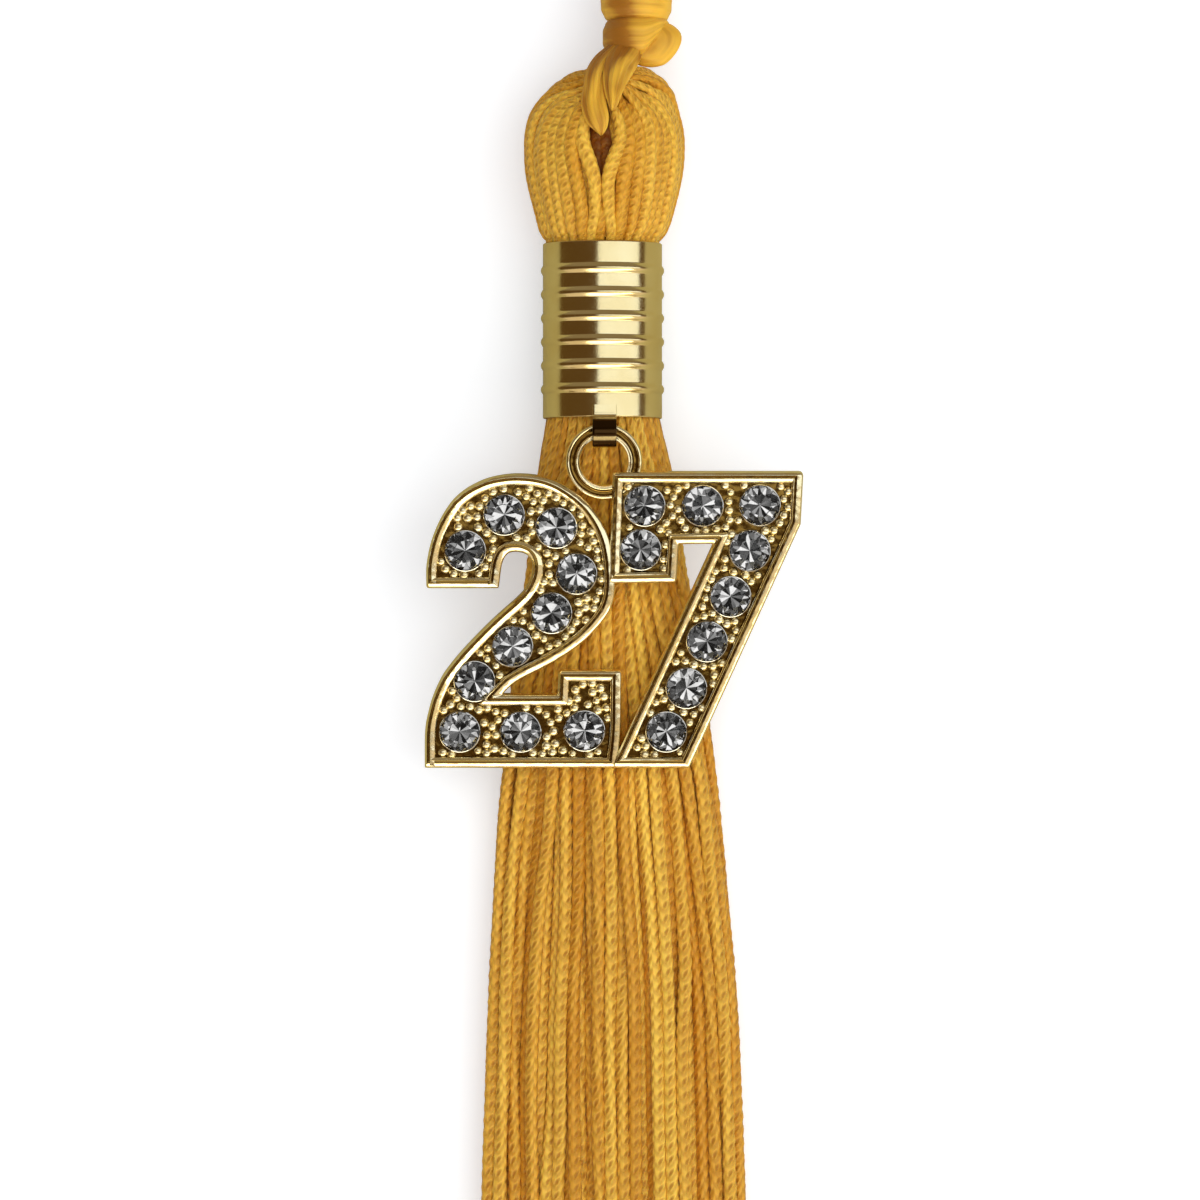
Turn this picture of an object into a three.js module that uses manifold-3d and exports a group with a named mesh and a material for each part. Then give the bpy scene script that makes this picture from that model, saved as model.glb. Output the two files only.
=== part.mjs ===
// Graduation tassel lying on its back: yarn head and fringe, metal sleeve, strap bail,
// cast year charm with round glass stones, and a satin cord knot with its hanging loop.
//
// Units are millimetres. +Z points up off the surface, +Y along the tassel towards the
// hanging loop, +X to the right as seen from above. The origin lies on the surface, under
// the middle of the tassel's box without the free cord. Inside the tassel group, y is
// measured from the sleeve's top edge.

import * as THREE from 'three';
import { mergeVertices } from 'three/addons/utils/BufferGeometryUtils.js';
import Module from 'manifold-3d';

const wasm = await Module();
wasm.setup();

// Driving dimensions: clearances and the whole tassel

const CLEARANCE = 0.3;
const SKIRT_LENGTH = 193.5;
const KNOT_TOP = 27.0;

// Sleeve: a thin metal tube with plain bands at both ends and raised beads between them

const SLEEVE_LENGTH = 17.7;
const SLEEVE_RADIUS = 6.0;
const SLEEVE_WALL = 0.4;
const SLEEVE_X = -1.1;
const SLEEVE_Z = 6.6;
const SLEEVE_SIDES = 26;
const BEAD_COUNT = 6;
const BEAD_PITCH = 2.4;
const BEAD_WIDTH = 1.0;
const BEAD_RISE = 0.2;
const FIRST_BEAD = 2.75;

// Bail: a strap soldered to the sleeve's lower front edge and curled into an eye

const BAIL_X = -0.9;
const BAIL_WIDTH = 2.4;
const BAIL_STRAP = 0.4;
const EYE_RADIUS = 1.2;
const PIVOT_Y = -19.24;
const PIVOT_Z = 13.55;
const TAB_END = 2.75;

// Charm: two block numerals cast in one piece with their ring

const CHARM_X = -0.95;
const CHARM_TILT = THREE.MathUtils.degToRad(5.66);
const CHARM_BACK = -1.1;
const CHARM_RIM = 1.1;
const CHARM_FLOOR = 0.3;
const RIM_WIDTH = 0.75;
const NUMERAL_FOOT = -33.44;
const RING_OUTER = 3.8;
const RING_INNER = 2.375;
const RING_THICKNESS = 1.0;
const RING_CHAMFER = 0.22;
const RING_SIDES = 24;
const ARC_STEPS = 14;
const MITRE_LIMIT = 0.3;

// The ring's bar crosses the eye a little above the pivot, so that it clears the strap all
// round while the charm turns.
const BAR_OFFSET = 0.15;
const ringCentreY = BAR_OFFSET - (RING_OUTER + RING_INNER) / 2;

// Stones: round glass brilliants

const STONE_RADIUS = 2.05;
const STONE_SIDES = 8;
const STONE_POINT = -0.35;
const STONE_GIRDLE = 0.75;
const STONE_GIRDLE_HEIGHT = 0.12;
const STONE_TABLE = 1.5;
const STONE_TABLE_RADIUS = 1.2;

// Yarn: the head's outline, the core in the sleeve, and the fringe

const HEAD_X = -0.9;
const CORE_RADIUS = 5.3;
const CORE_END = -18.6;
const LOBE_COUNT = 26;
const LOBE_RISE = 0.26;
const LOBE_START = 1.0;
const STRAND_FILL = 0.8;
const STRAND_TRIM = 2.5;
const SKIRT_CROWN = 0.7;

// Satin cord

const CORD_RADIUS = 1.2;
const CORD_SIDES = 8;
const CORD_STEPS = 40;
const KNOT_X = 2.35;
const KNOT_Z = 6.6;
const WRAP_SIDES = 14;
const LOWER_WRAP_SLANT = 0.1;
const ENDS_STEPS = 9;
const BIGHT_STEPS = 12;

// The box from the fringe's end to the knot's top is centred on the origin.
const DATUM_Y = (SLEEVE_LENGTH + SKIRT_LENGTH - KNOT_TOP) / 2;

const tassel = new THREE.Group();
tassel.name = 'tassel';
tassel.position.y = DATUM_Y;

// Finishes

const finishes = {
  yarn: { color: 0xd9a53a, roughness: 0.8, metalness: 0 },
  satinCord: { color: 0xdba93c, roughness: 0.45, metalness: 0 },
  polishedGold: { color: 0xb89a55, roughness: 0.2, metalness: 1 },
  antiqueGold: { color: 0x9c7a3c, roughness: 0.35, metalness: 1 },
  clearGlass: { color: 0xe6e8ea, roughness: 0.05, metalness: 0 },
};

// Helpers

function signedVolume(position, index) {
  const a = new THREE.Vector3();
  const b = new THREE.Vector3();
  const c = new THREE.Vector3();
  let volume = 0;
  for (let i = 0; i < index.count; i += 3) {
    a.fromBufferAttribute(position, index.getX(i));
    b.fromBufferAttribute(position, index.getX(i + 1));
    c.fromBufferAttribute(position, index.getX(i + 2));
    volume += a.dot(b.cross(c)) / 6;
  }
  return volume;
}

// Keeps only the positions, joins equal ones and turns the faces outwards.
function weld(geometry) {
  const bare = geometry.clone();
  bare.deleteAttribute('normal');
  bare.deleteAttribute('uv');
  const welded = mergeVertices(bare, 1e-4);
  if (signedVolume(welded.attributes.position, welded.index) < 0) {
    welded.index.array.reverse();
  }
  return welded;
}

function toSolid(geometry) {
  const welded = weld(geometry);
  const mesh = new wasm.Mesh({
    numProp: 3,
    vertProperties: new Float32Array(welded.attributes.position.array),
    triVerts: new Uint32Array(welded.index.array),
  });
  return new wasm.Manifold(mesh);
}

function toGeometry(solid) {
  const mesh = solid.getMesh();
  const geometry = new THREE.BufferGeometry();
  geometry.setAttribute('position', new THREE.BufferAttribute(mesh.vertProperties, 3));
  geometry.setIndex(new THREE.BufferAttribute(mesh.triVerts, 1));
  return geometry;
}

function unite(solids) {
  return solids.reduce((whole, next) => whole.add(next));
}

function addPiece(parent, name, geometry, finish) {
  const mesh = new THREE.Mesh(geometry, new THREE.MeshStandardMaterial(finishes[finish]));
  mesh.name = name;
  parent.add(mesh);
  return mesh;
}

// Straight-line interpolation in a table whose rows are sorted by falling y.
function lookUp(table, y, column) {
  const last = table.length - 1;
  if (y >= table[0].y) return table[0][column];
  if (y <= table[last].y) return table[last][column];
  const below = table.findIndex((row) => row.y < y);
  const upper = table[below - 1];
  const lower = table[below];
  const share = (y - upper.y) / (lower.y - upper.y);
  return THREE.MathUtils.lerp(upper[column], lower[column], share);
}

function moveVertices(geometry, place) {
  const position = geometry.attributes.position;
  const point = new THREE.Vector3();
  for (let i = 0; i < position.count; i += 1) {
    point.fromBufferAttribute(position, i);
    place(point);
    position.setXYZ(i, point.x, point.y, point.z);
  }
  return geometry;
}

// Spins a closed profile of [radius, height] rows around the Y axis.
function turned(profile, sides) {
  const points = profile.map(([radius, height]) => new THREE.Vector2(radius, height));
  return new THREE.LatheGeometry(points, sides);
}

// A cord of changing radius along rows of x, y, z and radius. A thin cord is extruded
// along the curve, and each of its rings is then widened about its own centre.
function cord(rows, steps, sides = CORD_SIDES) {
  const thread = 0.01;
  const curve = new THREE.CatmullRomCurve3(rows.map((row) => new THREE.Vector3(row.x, row.y, row.z)));
  const radii = new THREE.SplineCurve(rows.map((row, i) => new THREE.Vector2(i, row.radius)));
  const section = new THREE.Shape();
  for (let i = 0; i < sides; i += 1) {
    const angle = (i + 0.5) * 2 * Math.PI / sides;
    const corner = [thread * Math.cos(angle), thread * Math.sin(angle)];
    if (i === 0) section.moveTo(...corner);
    else section.lineTo(...corner);
  }
  const geometry = new THREE.ExtrudeGeometry(section, { steps, extrudePath: curve });
  const centres = curve.getSpacedPoints(steps);
  return moveVertices(geometry, (point) => {
    const distances = centres.map((centre) => centre.distanceToSquared(point));
    const ring = distances.indexOf(Math.min(...distances));
    const along = curve.getUtoTmapping(ring / steps);
    const radius = radii.getPoint(along).y;
    point.sub(centres[ring]).multiplyScalar(radius / thread).add(centres[ring]);
  });
}

// Sleeve

function sleeveGeometry() {
  const outer = [[SLEEVE_RADIUS, 0]];
  for (let i = 0; i < BEAD_COUNT; i += 1) {
    const crest = -FIRST_BEAD - i * BEAD_PITCH;
    outer.push([SLEEVE_RADIUS, crest + BEAD_WIDTH / 2]);
    outer.push([SLEEVE_RADIUS + BEAD_RISE, crest]);
    outer.push([SLEEVE_RADIUS, crest - BEAD_WIDTH / 2]);
  }
  outer.push([SLEEVE_RADIUS, -SLEEVE_LENGTH]);
  const bore = SLEEVE_RADIUS - SLEEVE_WALL;
  const profile = [...outer, [bore, -SLEEVE_LENGTH], [bore, 0], outer[0]];
  return weld(turned(profile, SLEEVE_SIDES));
}

const sleeve = addPiece(tassel, 'ferrule', sleeveGeometry(), 'polishedGold');
sleeve.position.set(SLEEVE_X, 0, SLEEVE_Z);

// Bail. The outline is drawn in the plane across the hinge line, with the pivot at its
// zero and the sleeve on its right, and extruded along the hinge line.

function bailGeometry() {
  const outer = EYE_RADIUS + BAIL_STRAP;
  const tabUnder = SLEEVE_Z + SLEEVE_RADIUS + CLEARANCE - PIVOT_Z;
  const tabTop = tabUnder + BAIL_STRAP;
  const outline = new THREE.Shape();
  outline.moveTo(TAB_END, tabTop);
  outline.lineTo(TAB_END, tabUnder);
  outline.absarc(0, 0, outer, Math.asin(tabUnder / outer), Math.asin(tabTop / outer), true);
  const eye = new THREE.Path();
  eye.absarc(0, 0, EYE_RADIUS, 0, 2 * Math.PI, false);
  outline.holes.push(eye);
  const strap = new THREE.ExtrudeGeometry(outline, {
    depth: BAIL_WIDTH,
    bevelEnabled: false,
    curveSegments: 10,
  });
  strap.translate(0, 0, -BAIL_WIDTH / 2);
  const along = new THREE.Vector3(0, 1, 0);
  const up = new THREE.Vector3(0, 0, 1);
  const across = new THREE.Vector3(1, 0, 0);
  return weld(strap.applyMatrix4(new THREE.Matrix4().makeBasis(along, up, across)));
}

const bail = addPiece(tassel, 'bail', bailGeometry(), 'polishedGold');
bail.position.set(BAIL_X, PIVOT_Y, PIVOT_Z);

// Charm. Its own frame has the pivot at zero. Outline rows give x from the ring's middle
// and h above the numerals' foot line. A row with a radius is an arc about x, h from
// the angle 'from' to the angle 'to', in degrees, clockwise where 'cw' is true.

const twoOutline = [
  { x: -8.4, h: 19.8, radius: 9.4, from: 191.0, to: -65.3, cw: true },
  { x: -6.95, h: 9.8 },
  { x: -8.9, h: 8.5 },
  { x: -10.25, h: 7.1 },
  { x: -4.45, h: 7.1 },
  { x: -4.15, h: 9.4 },
  { x: 1.5, h: 9.4 },
  { x: 1.35, h: 0 },
  { x: -17.85, h: 0 },
  { x: -17.75, h: 3.8 },
  { x: -16.95, h: 7.6 },
  { x: -15.65, h: 10.3 },
  { x: -13.35, h: 12.5 },
  { x: -8.4, h: 16.0 },
  { x: -6.75, h: 18.0 },
  { x: -8.6, h: 20.1, radius: 2.0, from: -5, to: 185, cw: false },
  { x: -10.85, h: 18.0 },
];

const sevenOutline = [
  { x: 0.9, h: 29.15 },
  { x: 19.75, h: 29.15 },
  { x: 19.45, h: 24.7 },
  { x: 8.65, h: 0 },
  { x: 1.25, h: 0 },
  { x: 11.85, h: 22.7 },
  { x: 7.05, h: 22.7 },
  { x: 6.75, h: 18.9 },
  { x: 0.9, h: 18.8 },
];

// The thin web of metal between the ring's foot and the two numerals.
const webOutline = [
  { x: -3.2, h: 28.0 },
  { x: 1.2, h: 27.6 },
  { x: 1.2, h: 21.0 },
  { x: 0.2, h: 21.0 },
  { x: -2.6, h: 25.5 },
];

function outlinePoints(rows) {
  const path = new THREE.Path();
  rows.forEach((row, i) => {
    if (row.radius) {
      const from = THREE.MathUtils.degToRad(row.from);
      const to = THREE.MathUtils.degToRad(row.to);
      path.absarc(row.x, row.h + NUMERAL_FOOT, row.radius, from, to, row.cw);
    } else if (i === 0) {
      path.moveTo(row.x, row.h + NUMERAL_FOOT);
    } else {
      path.lineTo(row.x, row.h + NUMERAL_FOOT);
    }
  });
  const points = path.getPoints(ARC_STEPS);
  return THREE.ShapeUtils.isClockWise(points) ? points.reverse() : points;
}

// Moves each side of an anticlockwise outline inwards and meets its neighbours again.
function inset(points, distance) {
  return points.map((point, i) => {
    const before = points[(i + points.length - 1) % points.length];
    const after = points[(i + 1) % points.length];
    const entry = point.clone().sub(before).normalize();
    const exit = after.clone().sub(point).normalize();
    const mitre = new THREE.Vector2(-entry.y - exit.y, entry.x + exit.x).normalize();
    const share = mitre.dot(new THREE.Vector2(-exit.y, exit.x));
    return point.clone().addScaledVector(mitre, distance / Math.max(share, MITRE_LIMIT));
  });
}

function slab(points, bottom, top) {
  const geometry = new THREE.ExtrudeGeometry(new THREE.Shape(points), {
    depth: top - bottom,
    bevelEnabled: false,
  });
  return toSolid(geometry.translate(0, 0, bottom));
}

function ringSolid() {
  const middle = (RING_OUTER + RING_INNER) / 2;
  const reach = (RING_OUTER - RING_INNER) / 2;
  const half = RING_THICKNESS / 2;
  const profile = [
    [middle + reach, half - RING_CHAMFER],
    [middle + reach - RING_CHAMFER, half],
    [middle - reach + RING_CHAMFER, half],
    [middle - reach, half - RING_CHAMFER],
    [middle - reach, RING_CHAMFER - half],
    [middle - reach + RING_CHAMFER, -half],
    [middle + reach - RING_CHAMFER, -half],
    [middle + reach, RING_CHAMFER - half],
    [middle + reach, half - RING_CHAMFER],
  ];
  const ring = turned(profile, RING_SIDES).rotateX(Math.PI / 2);
  return toSolid(ring.translate(0, ringCentreY, 0));
}

// Stone places: x from the ring's middle and h above the numerals' foot line.
const stonePlaces = [
  { x: -13.85, h: 21.6 },
  { x: -9.95, h: 25.2 },
  { x: -4.75, h: 23.9 },
  { x: -2.75, h: 19.3 },
  { x: -5.25, h: 15.35 },
  { x: -9.15, h: 12.0 },
  { x: -12.95, h: 8.5 },
  { x: -14.45, h: 3.4 },
  { x: -8.35, h: 3.4 },
  { x: -1.95, h: 3.5 },
  { x: 4.05, h: 26.1 },
  { x: 9.85, h: 26.1 },
  { x: 15.55, h: 26.15 },
  { x: 3.65, h: 21.7 },
  { x: 14.55, h: 21.6 },
  { x: 12.65, h: 17.0 },
  { x: 10.3, h: 12.5 },
  { x: 8.25, h: 7.8 },
  { x: 6.25, h: 3.4 },
];

// The conical seat under a stone follows its lower cone, one clearance away.
function seatSolid(place) {
  const slope = STONE_RADIUS / (STONE_GIRDLE - STONE_POINT);
  const drop = CLEARANCE * Math.hypot(1, 1 / slope);
  const top = CHARM_FLOOR + CLEARANCE;
  const radius = slope * (top - STONE_POINT + drop);
  const profile = [[0, STONE_POINT - drop], [radius, top], [0, top]];
  const seat = turned(profile, STONE_SIDES).rotateX(Math.PI / 2);
  return toSolid(seat.translate(place.x, place.h + NUMERAL_FOOT, 0));
}

function charmGeometry() {
  const two = outlinePoints(twoOutline);
  const seven = outlinePoints(sevenOutline);
  const body = unite([
    slab(two, CHARM_BACK, CHARM_RIM),
    slab(seven, CHARM_BACK, CHARM_RIM),
    slab(outlinePoints(webOutline), -RING_THICKNESS / 2, CHARM_FLOOR),
    ringSolid(),
  ]);
  const recesses = unite([
    slab(inset(two, RIM_WIDTH), CHARM_FLOOR, 2 * CHARM_RIM),
    slab(inset(seven, RIM_WIDTH), CHARM_FLOOR, 2 * CHARM_RIM),
    ...stonePlaces.map(seatSolid),
  ]);
  return toGeometry(body.subtract(recesses));
}

function stoneGeometry() {
  const girdleTop = STONE_GIRDLE + STONE_GIRDLE_HEIGHT;
  const profile = [
    [0, STONE_POINT],
    [STONE_RADIUS, STONE_GIRDLE],
    [STONE_RADIUS, girdleTop],
    [STONE_TABLE_RADIUS, STONE_TABLE],
    [0, STONE_TABLE],
  ];
  return weld(turned(profile, STONE_SIDES).rotateX(Math.PI / 2));
}

const charmAssembly = new THREE.Group();
charmAssembly.name = 'charm_assembly';
charmAssembly.position.set(CHARM_X, PIVOT_Y, PIVOT_Z);
charmAssembly.rotation.x = CHARM_TILT;
tassel.add(charmAssembly);
addPiece(charmAssembly, 'charm', charmGeometry(), 'antiqueGold');

stonePlaces.forEach((place, i) => {
  const name = `stone_${String(i + 1).padStart(2, '0')}`;
  const stone = addPiece(charmAssembly, name, stoneGeometry(), 'clearGlass');
  stone.position.set(place.x, place.h + NUMERAL_FOOT, 0);
});

// Hanger: two ends of the satin cord dive into the head's front, and the knot sits above
// them. Rows give the cord's centre and radius.

const leftEnd = [
  { x: 1.2, y: 19.8, z: 7.4, radius: 1.0 },
  { x: -0.7, y: 18.1, z: 9.4, radius: 1.1 },
  { x: -1.9, y: 16.3, z: 11.6, radius: 1.15 },
  { x: -2.1, y: 14.2, z: 13.1, radius: 1.1 },
  { x: -1.8, y: 12.2, z: 14.0, radius: 0.8 },
  { x: -1.35, y: 10.5, z: 14.5, radius: 0.2 },
];

const rightEnd = [
  { x: 2.2, y: 19.8, z: 7.4, radius: 1.2 },
  { x: 1.0, y: 18.1, z: 9.5, radius: 1.3 },
  { x: 0.45, y: 16.4, z: 11.5, radius: 1.15 },
  { x: 0.05, y: 14.7, z: 12.9, radius: 0.75 },
  { x: -0.15, y: 13.1, z: 13.7, radius: 0.2 },
];

const sideBight = [
  { x: 2.6, y: 22.4, z: 6.4, radius: 1.0 },
  { x: 4.7, y: 22.1, z: 7.0, radius: 1.15 },
  { x: 5.9, y: 20.8, z: 7.3, radius: 1.2 },
  { x: 5.0, y: 19.3, z: 7.3, radius: 1.15 },
  { x: 3.3, y: 18.9, z: 7.4, radius: 1.1 },
  { x: 1.9, y: 19.6, z: 7.2, radius: 1.0 },
];

const lowerWrap = [
  [0, 18.7],
  [2.2, 18.7],
  [3.05, 19.4],
  [3.35, 20.9],
  [3.1, 22.3],
  [2.7, 22.8],
  [0, 22.8],
];

const upperWrap = [
  [0, 22.6],
  [2.7, 22.6],
  [3.3, 23.4],
  [3.5, 24.8],
  [3.3, 26.2],
  [2.7, KNOT_TOP],
  [0, KNOT_TOP],
];

// A wrap of cord round the knot. With a slant it rises across the front, left to right.
function wrapSolid(profile, slant) {
  const wrap = turned(profile, WRAP_SIDES);
  moveVertices(wrap, (point) => {
    point.y += slant * point.x;
  });
  return toSolid(wrap.translate(KNOT_X, 0, KNOT_Z));
}

function knotGeometry() {
  return toGeometry(unite([
    wrapSolid(lowerWrap, LOWER_WRAP_SLANT),
    wrapSolid(upperWrap, 0),
    toSolid(cord(sideBight, BIGHT_STEPS)),
    toSolid(cord(leftEnd, ENDS_STEPS)),
    toSolid(cord(rightEnd, ENDS_STEPS)),
  ]));
}

addPiece(tassel, 'hanger_knot', knotGeometry(), 'satinCord');

// The free loop leaves the knot, comes down onto the surface and turns back.

const LEG_LIFT = 0.05;
const legHeight = CORD_RADIUS + LEG_LIFT;

const loopRoute = [
  { x: 0.95, y: KNOT_TOP + CLEARANCE, z: KNOT_Z },
  { x: 0.8, y: 31.0, z: 6.4 },
  { x: 0.2, y: 36.0, z: 5.4 },
  { x: -0.9, y: 42.0, z: 3.7 },
  { x: -2.2, y: 49.0, z: 2.1 },
  { x: -3.5, y: 57.0, z: legHeight },
  { x: -4.6, y: 67.0, z: legHeight },
  { x: -5.4, y: 78.0, z: legHeight },
  { x: -5.9, y: 90.0, z: legHeight },
  { x: -5.6, y: 101.0, z: legHeight },
  { x: -3.5, y: 110.0, z: legHeight },
  { x: 0.3, y: 115.0, z: legHeight },
  { x: 4.8, y: 115.6, z: legHeight },
  { x: 8.7, y: 111.8, z: legHeight },
  { x: 10.9, y: 104.0, z: legHeight },
  { x: 11.4, y: 94.0, z: legHeight },
  { x: 11.0, y: 82.0, z: legHeight },
  { x: 10.0, y: 70.0, z: legHeight },
  { x: 8.6, y: 58.0, z: legHeight },
  { x: 7.1, y: 49.0, z: 2.1 },
  { x: 5.8, y: 42.0, z: 3.7 },
  { x: 4.6, y: 36.0, z: 5.4 },
  { x: 4.0, y: 31.0, z: 6.4 },
  { x: 3.75, y: KNOT_TOP + CLEARANCE, z: KNOT_Z },
];

const loopRows = loopRoute.map((row) => ({ ...row, radius: CORD_RADIUS }));
addPiece(tassel, 'hanger_loop', weld(cord(loopRows, CORD_STEPS)), 'satinCord');

// Yarn head: rows give the radius at a height above the sleeve's top edge.

const headProfile = [
  [0, CORE_END],
  [CORE_RADIUS, CORE_END],
  [CORE_RADIUS, CLEARANCE],
  [6.15, CLEARANCE],
  [6.45, 1.2],
  [6.95, 3.0],
  [7.55, 5.2],
  [7.95, 7.2],
  [8.1, 9.0],
  [8.0, 10.9],
  [7.6, 12.6],
  [6.85, 14.2],
  [5.7, 15.7],
  [4.1, 16.9],
  [2.2, 17.6],
  [0, 17.8],
];

// Yarn lobes run up the head and fade out inside the sleeve. Where the head meets the
// surface it is pressed flat.
function headSolid() {
  const head = turned(headProfile, 2 * LOBE_COUNT);
  moveVertices(head, (point) => {
    const radius = Math.hypot(point.x, point.z);
    const turn = Math.round(Math.atan2(point.x, point.z) * LOBE_COUNT / Math.PI);
    const crest = turn % 2 === 0 ? 1 : 0;
    if (point.y > LOBE_START && radius > LOBE_RISE) {
      const scale = (radius + crest * LOBE_RISE) / radius;
      point.x *= scale;
      point.z *= scale;
    }
    const axis = point.y > 0 ? HEAD_X : SLEEVE_X;
    point.x += axis;
    point.z = Math.max(point.z + SLEEVE_Z, 0);
  });
  return toSolid(head);
}

// Grooves that hold the cord's two ends.
function grooveSolids() {
  return [leftEnd, rightEnd].map((rows) => {
    const wider = rows.map((row) => ({ ...row, radius: row.radius + CLEARANCE }));
    return toSolid(cord(wider, ENDS_STEPS));
  });
}

// Fringe. The bundle's section leaves the sleeve as a disc and spreads into a low heap on
// the surface: 'spread' is the share of the heap's form.

const bundle = [
  { y: -17.2, x: -1.1, halfWidth: 5.1, height: 10.2, floor: 1.45, spread: 0 },
  { y: -18.4, x: -1.0, halfWidth: 5.3, height: 10.2, floor: 1.35, spread: 0 },
  { y: -21.0, x: -0.9, halfWidth: 6.5, height: 10.1, floor: 0.95, spread: 0.1 },
  { y: -26.0, x: -0.75, halfWidth: 7.5, height: 9.9, floor: 0.5, spread: 0.3 },
  { y: -34.0, x: -0.65, halfWidth: 8.6, height: 9.7, floor: 0, spread: 0.55 },
  { y: -44.0, x: -0.55, halfWidth: 9.9, height: 9.2, floor: 0, spread: 0.8 },
  { y: -56.0, x: -0.45, halfWidth: 11.2, height: 8.7, floor: 0, spread: 1 },
  { y: -76.0, x: -0.05, halfWidth: 12.65, height: 8.2, floor: 0, spread: 1 },
  { y: -96.0, x: 0.05, halfWidth: 13.4, height: 7.8, floor: 0, spread: 1 },
  { y: -130.0, x: 0.4, halfWidth: 13.9, height: 7.5, floor: 0, spread: 1 },
  { y: -170.0, x: 0.7, halfWidth: 14.2, height: 7.3, floor: 0, spread: 1 },
  { y: -211.2, x: 0.8, halfWidth: 14.3, height: 7.1, floor: 0, spread: 1 },
];

const strandStations = [-17.4, -22.0, -31.0, -46.0, -72.0, -112.0, -160.0];

// Strands in each layer, from the surface up.
const layers = [21, 20, 21, 20, 19];

// Takes the square -1..1 to the unit disc without changing the share of its area.
function squareToDisc(u, v) {
  if (u === 0 && v === 0) return { x: 0, z: 0 };
  if (Math.abs(u) > Math.abs(v)) {
    const angle = Math.PI / 4 * v / u;
    return { x: u * Math.cos(angle), z: u * Math.sin(angle) };
  }
  const angle = Math.PI / 2 - Math.PI / 4 * u / v;
  return { x: v * Math.cos(angle), z: v * Math.sin(angle) };
}

// The place in the tassel of the point u, v of the bundle's section at y.
function bundlePoint(u, v, y) {
  const spread = lookUp(bundle, y, 'spread');
  const disc = squareToDisc(u, v);
  const crown = Math.sqrt(1 - SKIRT_CROWN * u * u);
  const across = THREE.MathUtils.lerp(disc.x, u, spread);
  const share = THREE.MathUtils.lerp((disc.z + 1) / 2, crown * (v + 1) / 2, spread);
  return new THREE.Vector3(
    lookUp(bundle, y, 'x') + across * lookUp(bundle, y, 'halfWidth'),
    y,
    lookUp(bundle, y, 'floor') + share * lookUp(bundle, y, 'height'),
  );
}

// An even spread of numbers in 0..1 that never clusters, for the strands' own ways.
function golden(i) {
  return (i * 0.618034) % 1;
}

// One strand fills part of its cell of the section all along the bundle, and strays from
// the cell's middle by no more than the free part.
function strandSolid(layer, place, number) {
  const count = layers[layer];
  const pitchU = 2 / count;
  const pitchV = 2 / layers.length;
  const left = -1 + place * pitchU;
  const low = -1 + layer * pitchV;
  const slackU = pitchU * (1 - STRAND_FILL);
  const slackV = pitchV * (1 - STRAND_FILL);
  const end = -SLEEVE_LENGTH - SKIRT_LENGTH + STRAND_TRIM * golden(number);
  const stations = [...strandStations, end];
  const strand = new THREE.BoxGeometry(1, 1, 1, 1, 1, stations.length - 1);
  moveVertices(strand, (point) => {
    const station = Math.round((0.5 - point.z) * (stations.length - 1));
    const stray = golden(7 * number + 13 * station);
    const lift = layer === 0 ? 0 : golden(5 * number + 11 * station);
    const u = left + slackU * stray + (point.x + 0.5) * pitchU * STRAND_FILL;
    const v = low + slackV * lift + (point.y + 0.5) * pitchV * STRAND_FILL;
    point.copy(bundlePoint(u, v, stations[station]));
  });
  return toSolid(strand);
}

function yarnGeometry() {
  const strands = [];
  layers.forEach((count, layer) => {
    for (let place = 0; place < count; place += 1) {
      strands.push(strandSolid(layer, place, strands.length));
    }
  });
  const head = headSolid().subtract(unite(grooveSolids()));
  return toGeometry(unite([head, ...strands]));
}

addPiece(tassel, 'yarn', yarnGeometry(), 'yarn');

export default tassel;
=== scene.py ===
"""Looks of a graduation tassel that lies on its back on a pale table.

A plied yarn head and fringe come out of a beaded metal sleeve, a satin cord knot holds the
head, and a strap bail on the sleeve carries a cast year charm set with round glass stones.
Shapes are worked out in millimetres, with y measured from the sleeve's top edge as on the
frame's parts, and every mesh is written in metres in the frame's own place.
"""

import logging
import math
from dataclasses import dataclass, field, replace
from enum import Enum

import bpy
import numpy as np
from mathutils import Euler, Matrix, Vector
from mathutils.geometry import tessellate_polygon
from numpy.typing import NDArray


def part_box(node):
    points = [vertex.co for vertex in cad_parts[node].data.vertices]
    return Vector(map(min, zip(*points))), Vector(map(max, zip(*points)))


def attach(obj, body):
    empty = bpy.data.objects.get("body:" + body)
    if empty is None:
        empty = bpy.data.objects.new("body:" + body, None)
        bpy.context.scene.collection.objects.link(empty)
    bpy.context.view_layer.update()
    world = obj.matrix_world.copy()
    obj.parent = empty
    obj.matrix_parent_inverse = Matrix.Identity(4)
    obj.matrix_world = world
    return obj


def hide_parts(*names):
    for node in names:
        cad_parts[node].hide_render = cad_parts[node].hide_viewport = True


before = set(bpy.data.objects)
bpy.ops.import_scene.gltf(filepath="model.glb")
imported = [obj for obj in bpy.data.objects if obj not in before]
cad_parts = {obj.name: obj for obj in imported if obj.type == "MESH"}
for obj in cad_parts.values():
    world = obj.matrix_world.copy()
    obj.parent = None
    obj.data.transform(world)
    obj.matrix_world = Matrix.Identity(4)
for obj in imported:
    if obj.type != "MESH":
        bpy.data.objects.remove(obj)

Array = NDArray[np.float64]
Faces = NDArray[np.int64]
Color = tuple[float, float, float]
Direction = tuple[float, float, float]
Rows = tuple[tuple[float, ...], ...]

LOG = logging.getLogger("tassel")
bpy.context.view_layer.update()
MM = 0.001
SLEEVE_TOP_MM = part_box("ferrule")[1].y / MM
SEED = 1827
# The lowest height of a soft piece above the table, in millimetres.
TABLE_GAP = 0.01
# The share of a circle that spreads numbers evenly.
GOLDEN_SHARE = 0.618034
# Bounds that stretch a noise texture's usual values to 0 and 1.
NOISE_RANGE = (0.3, 0.7, 0.0, 1.0)
UP = np.array([0.0, 0.0, 1.0])


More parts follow.
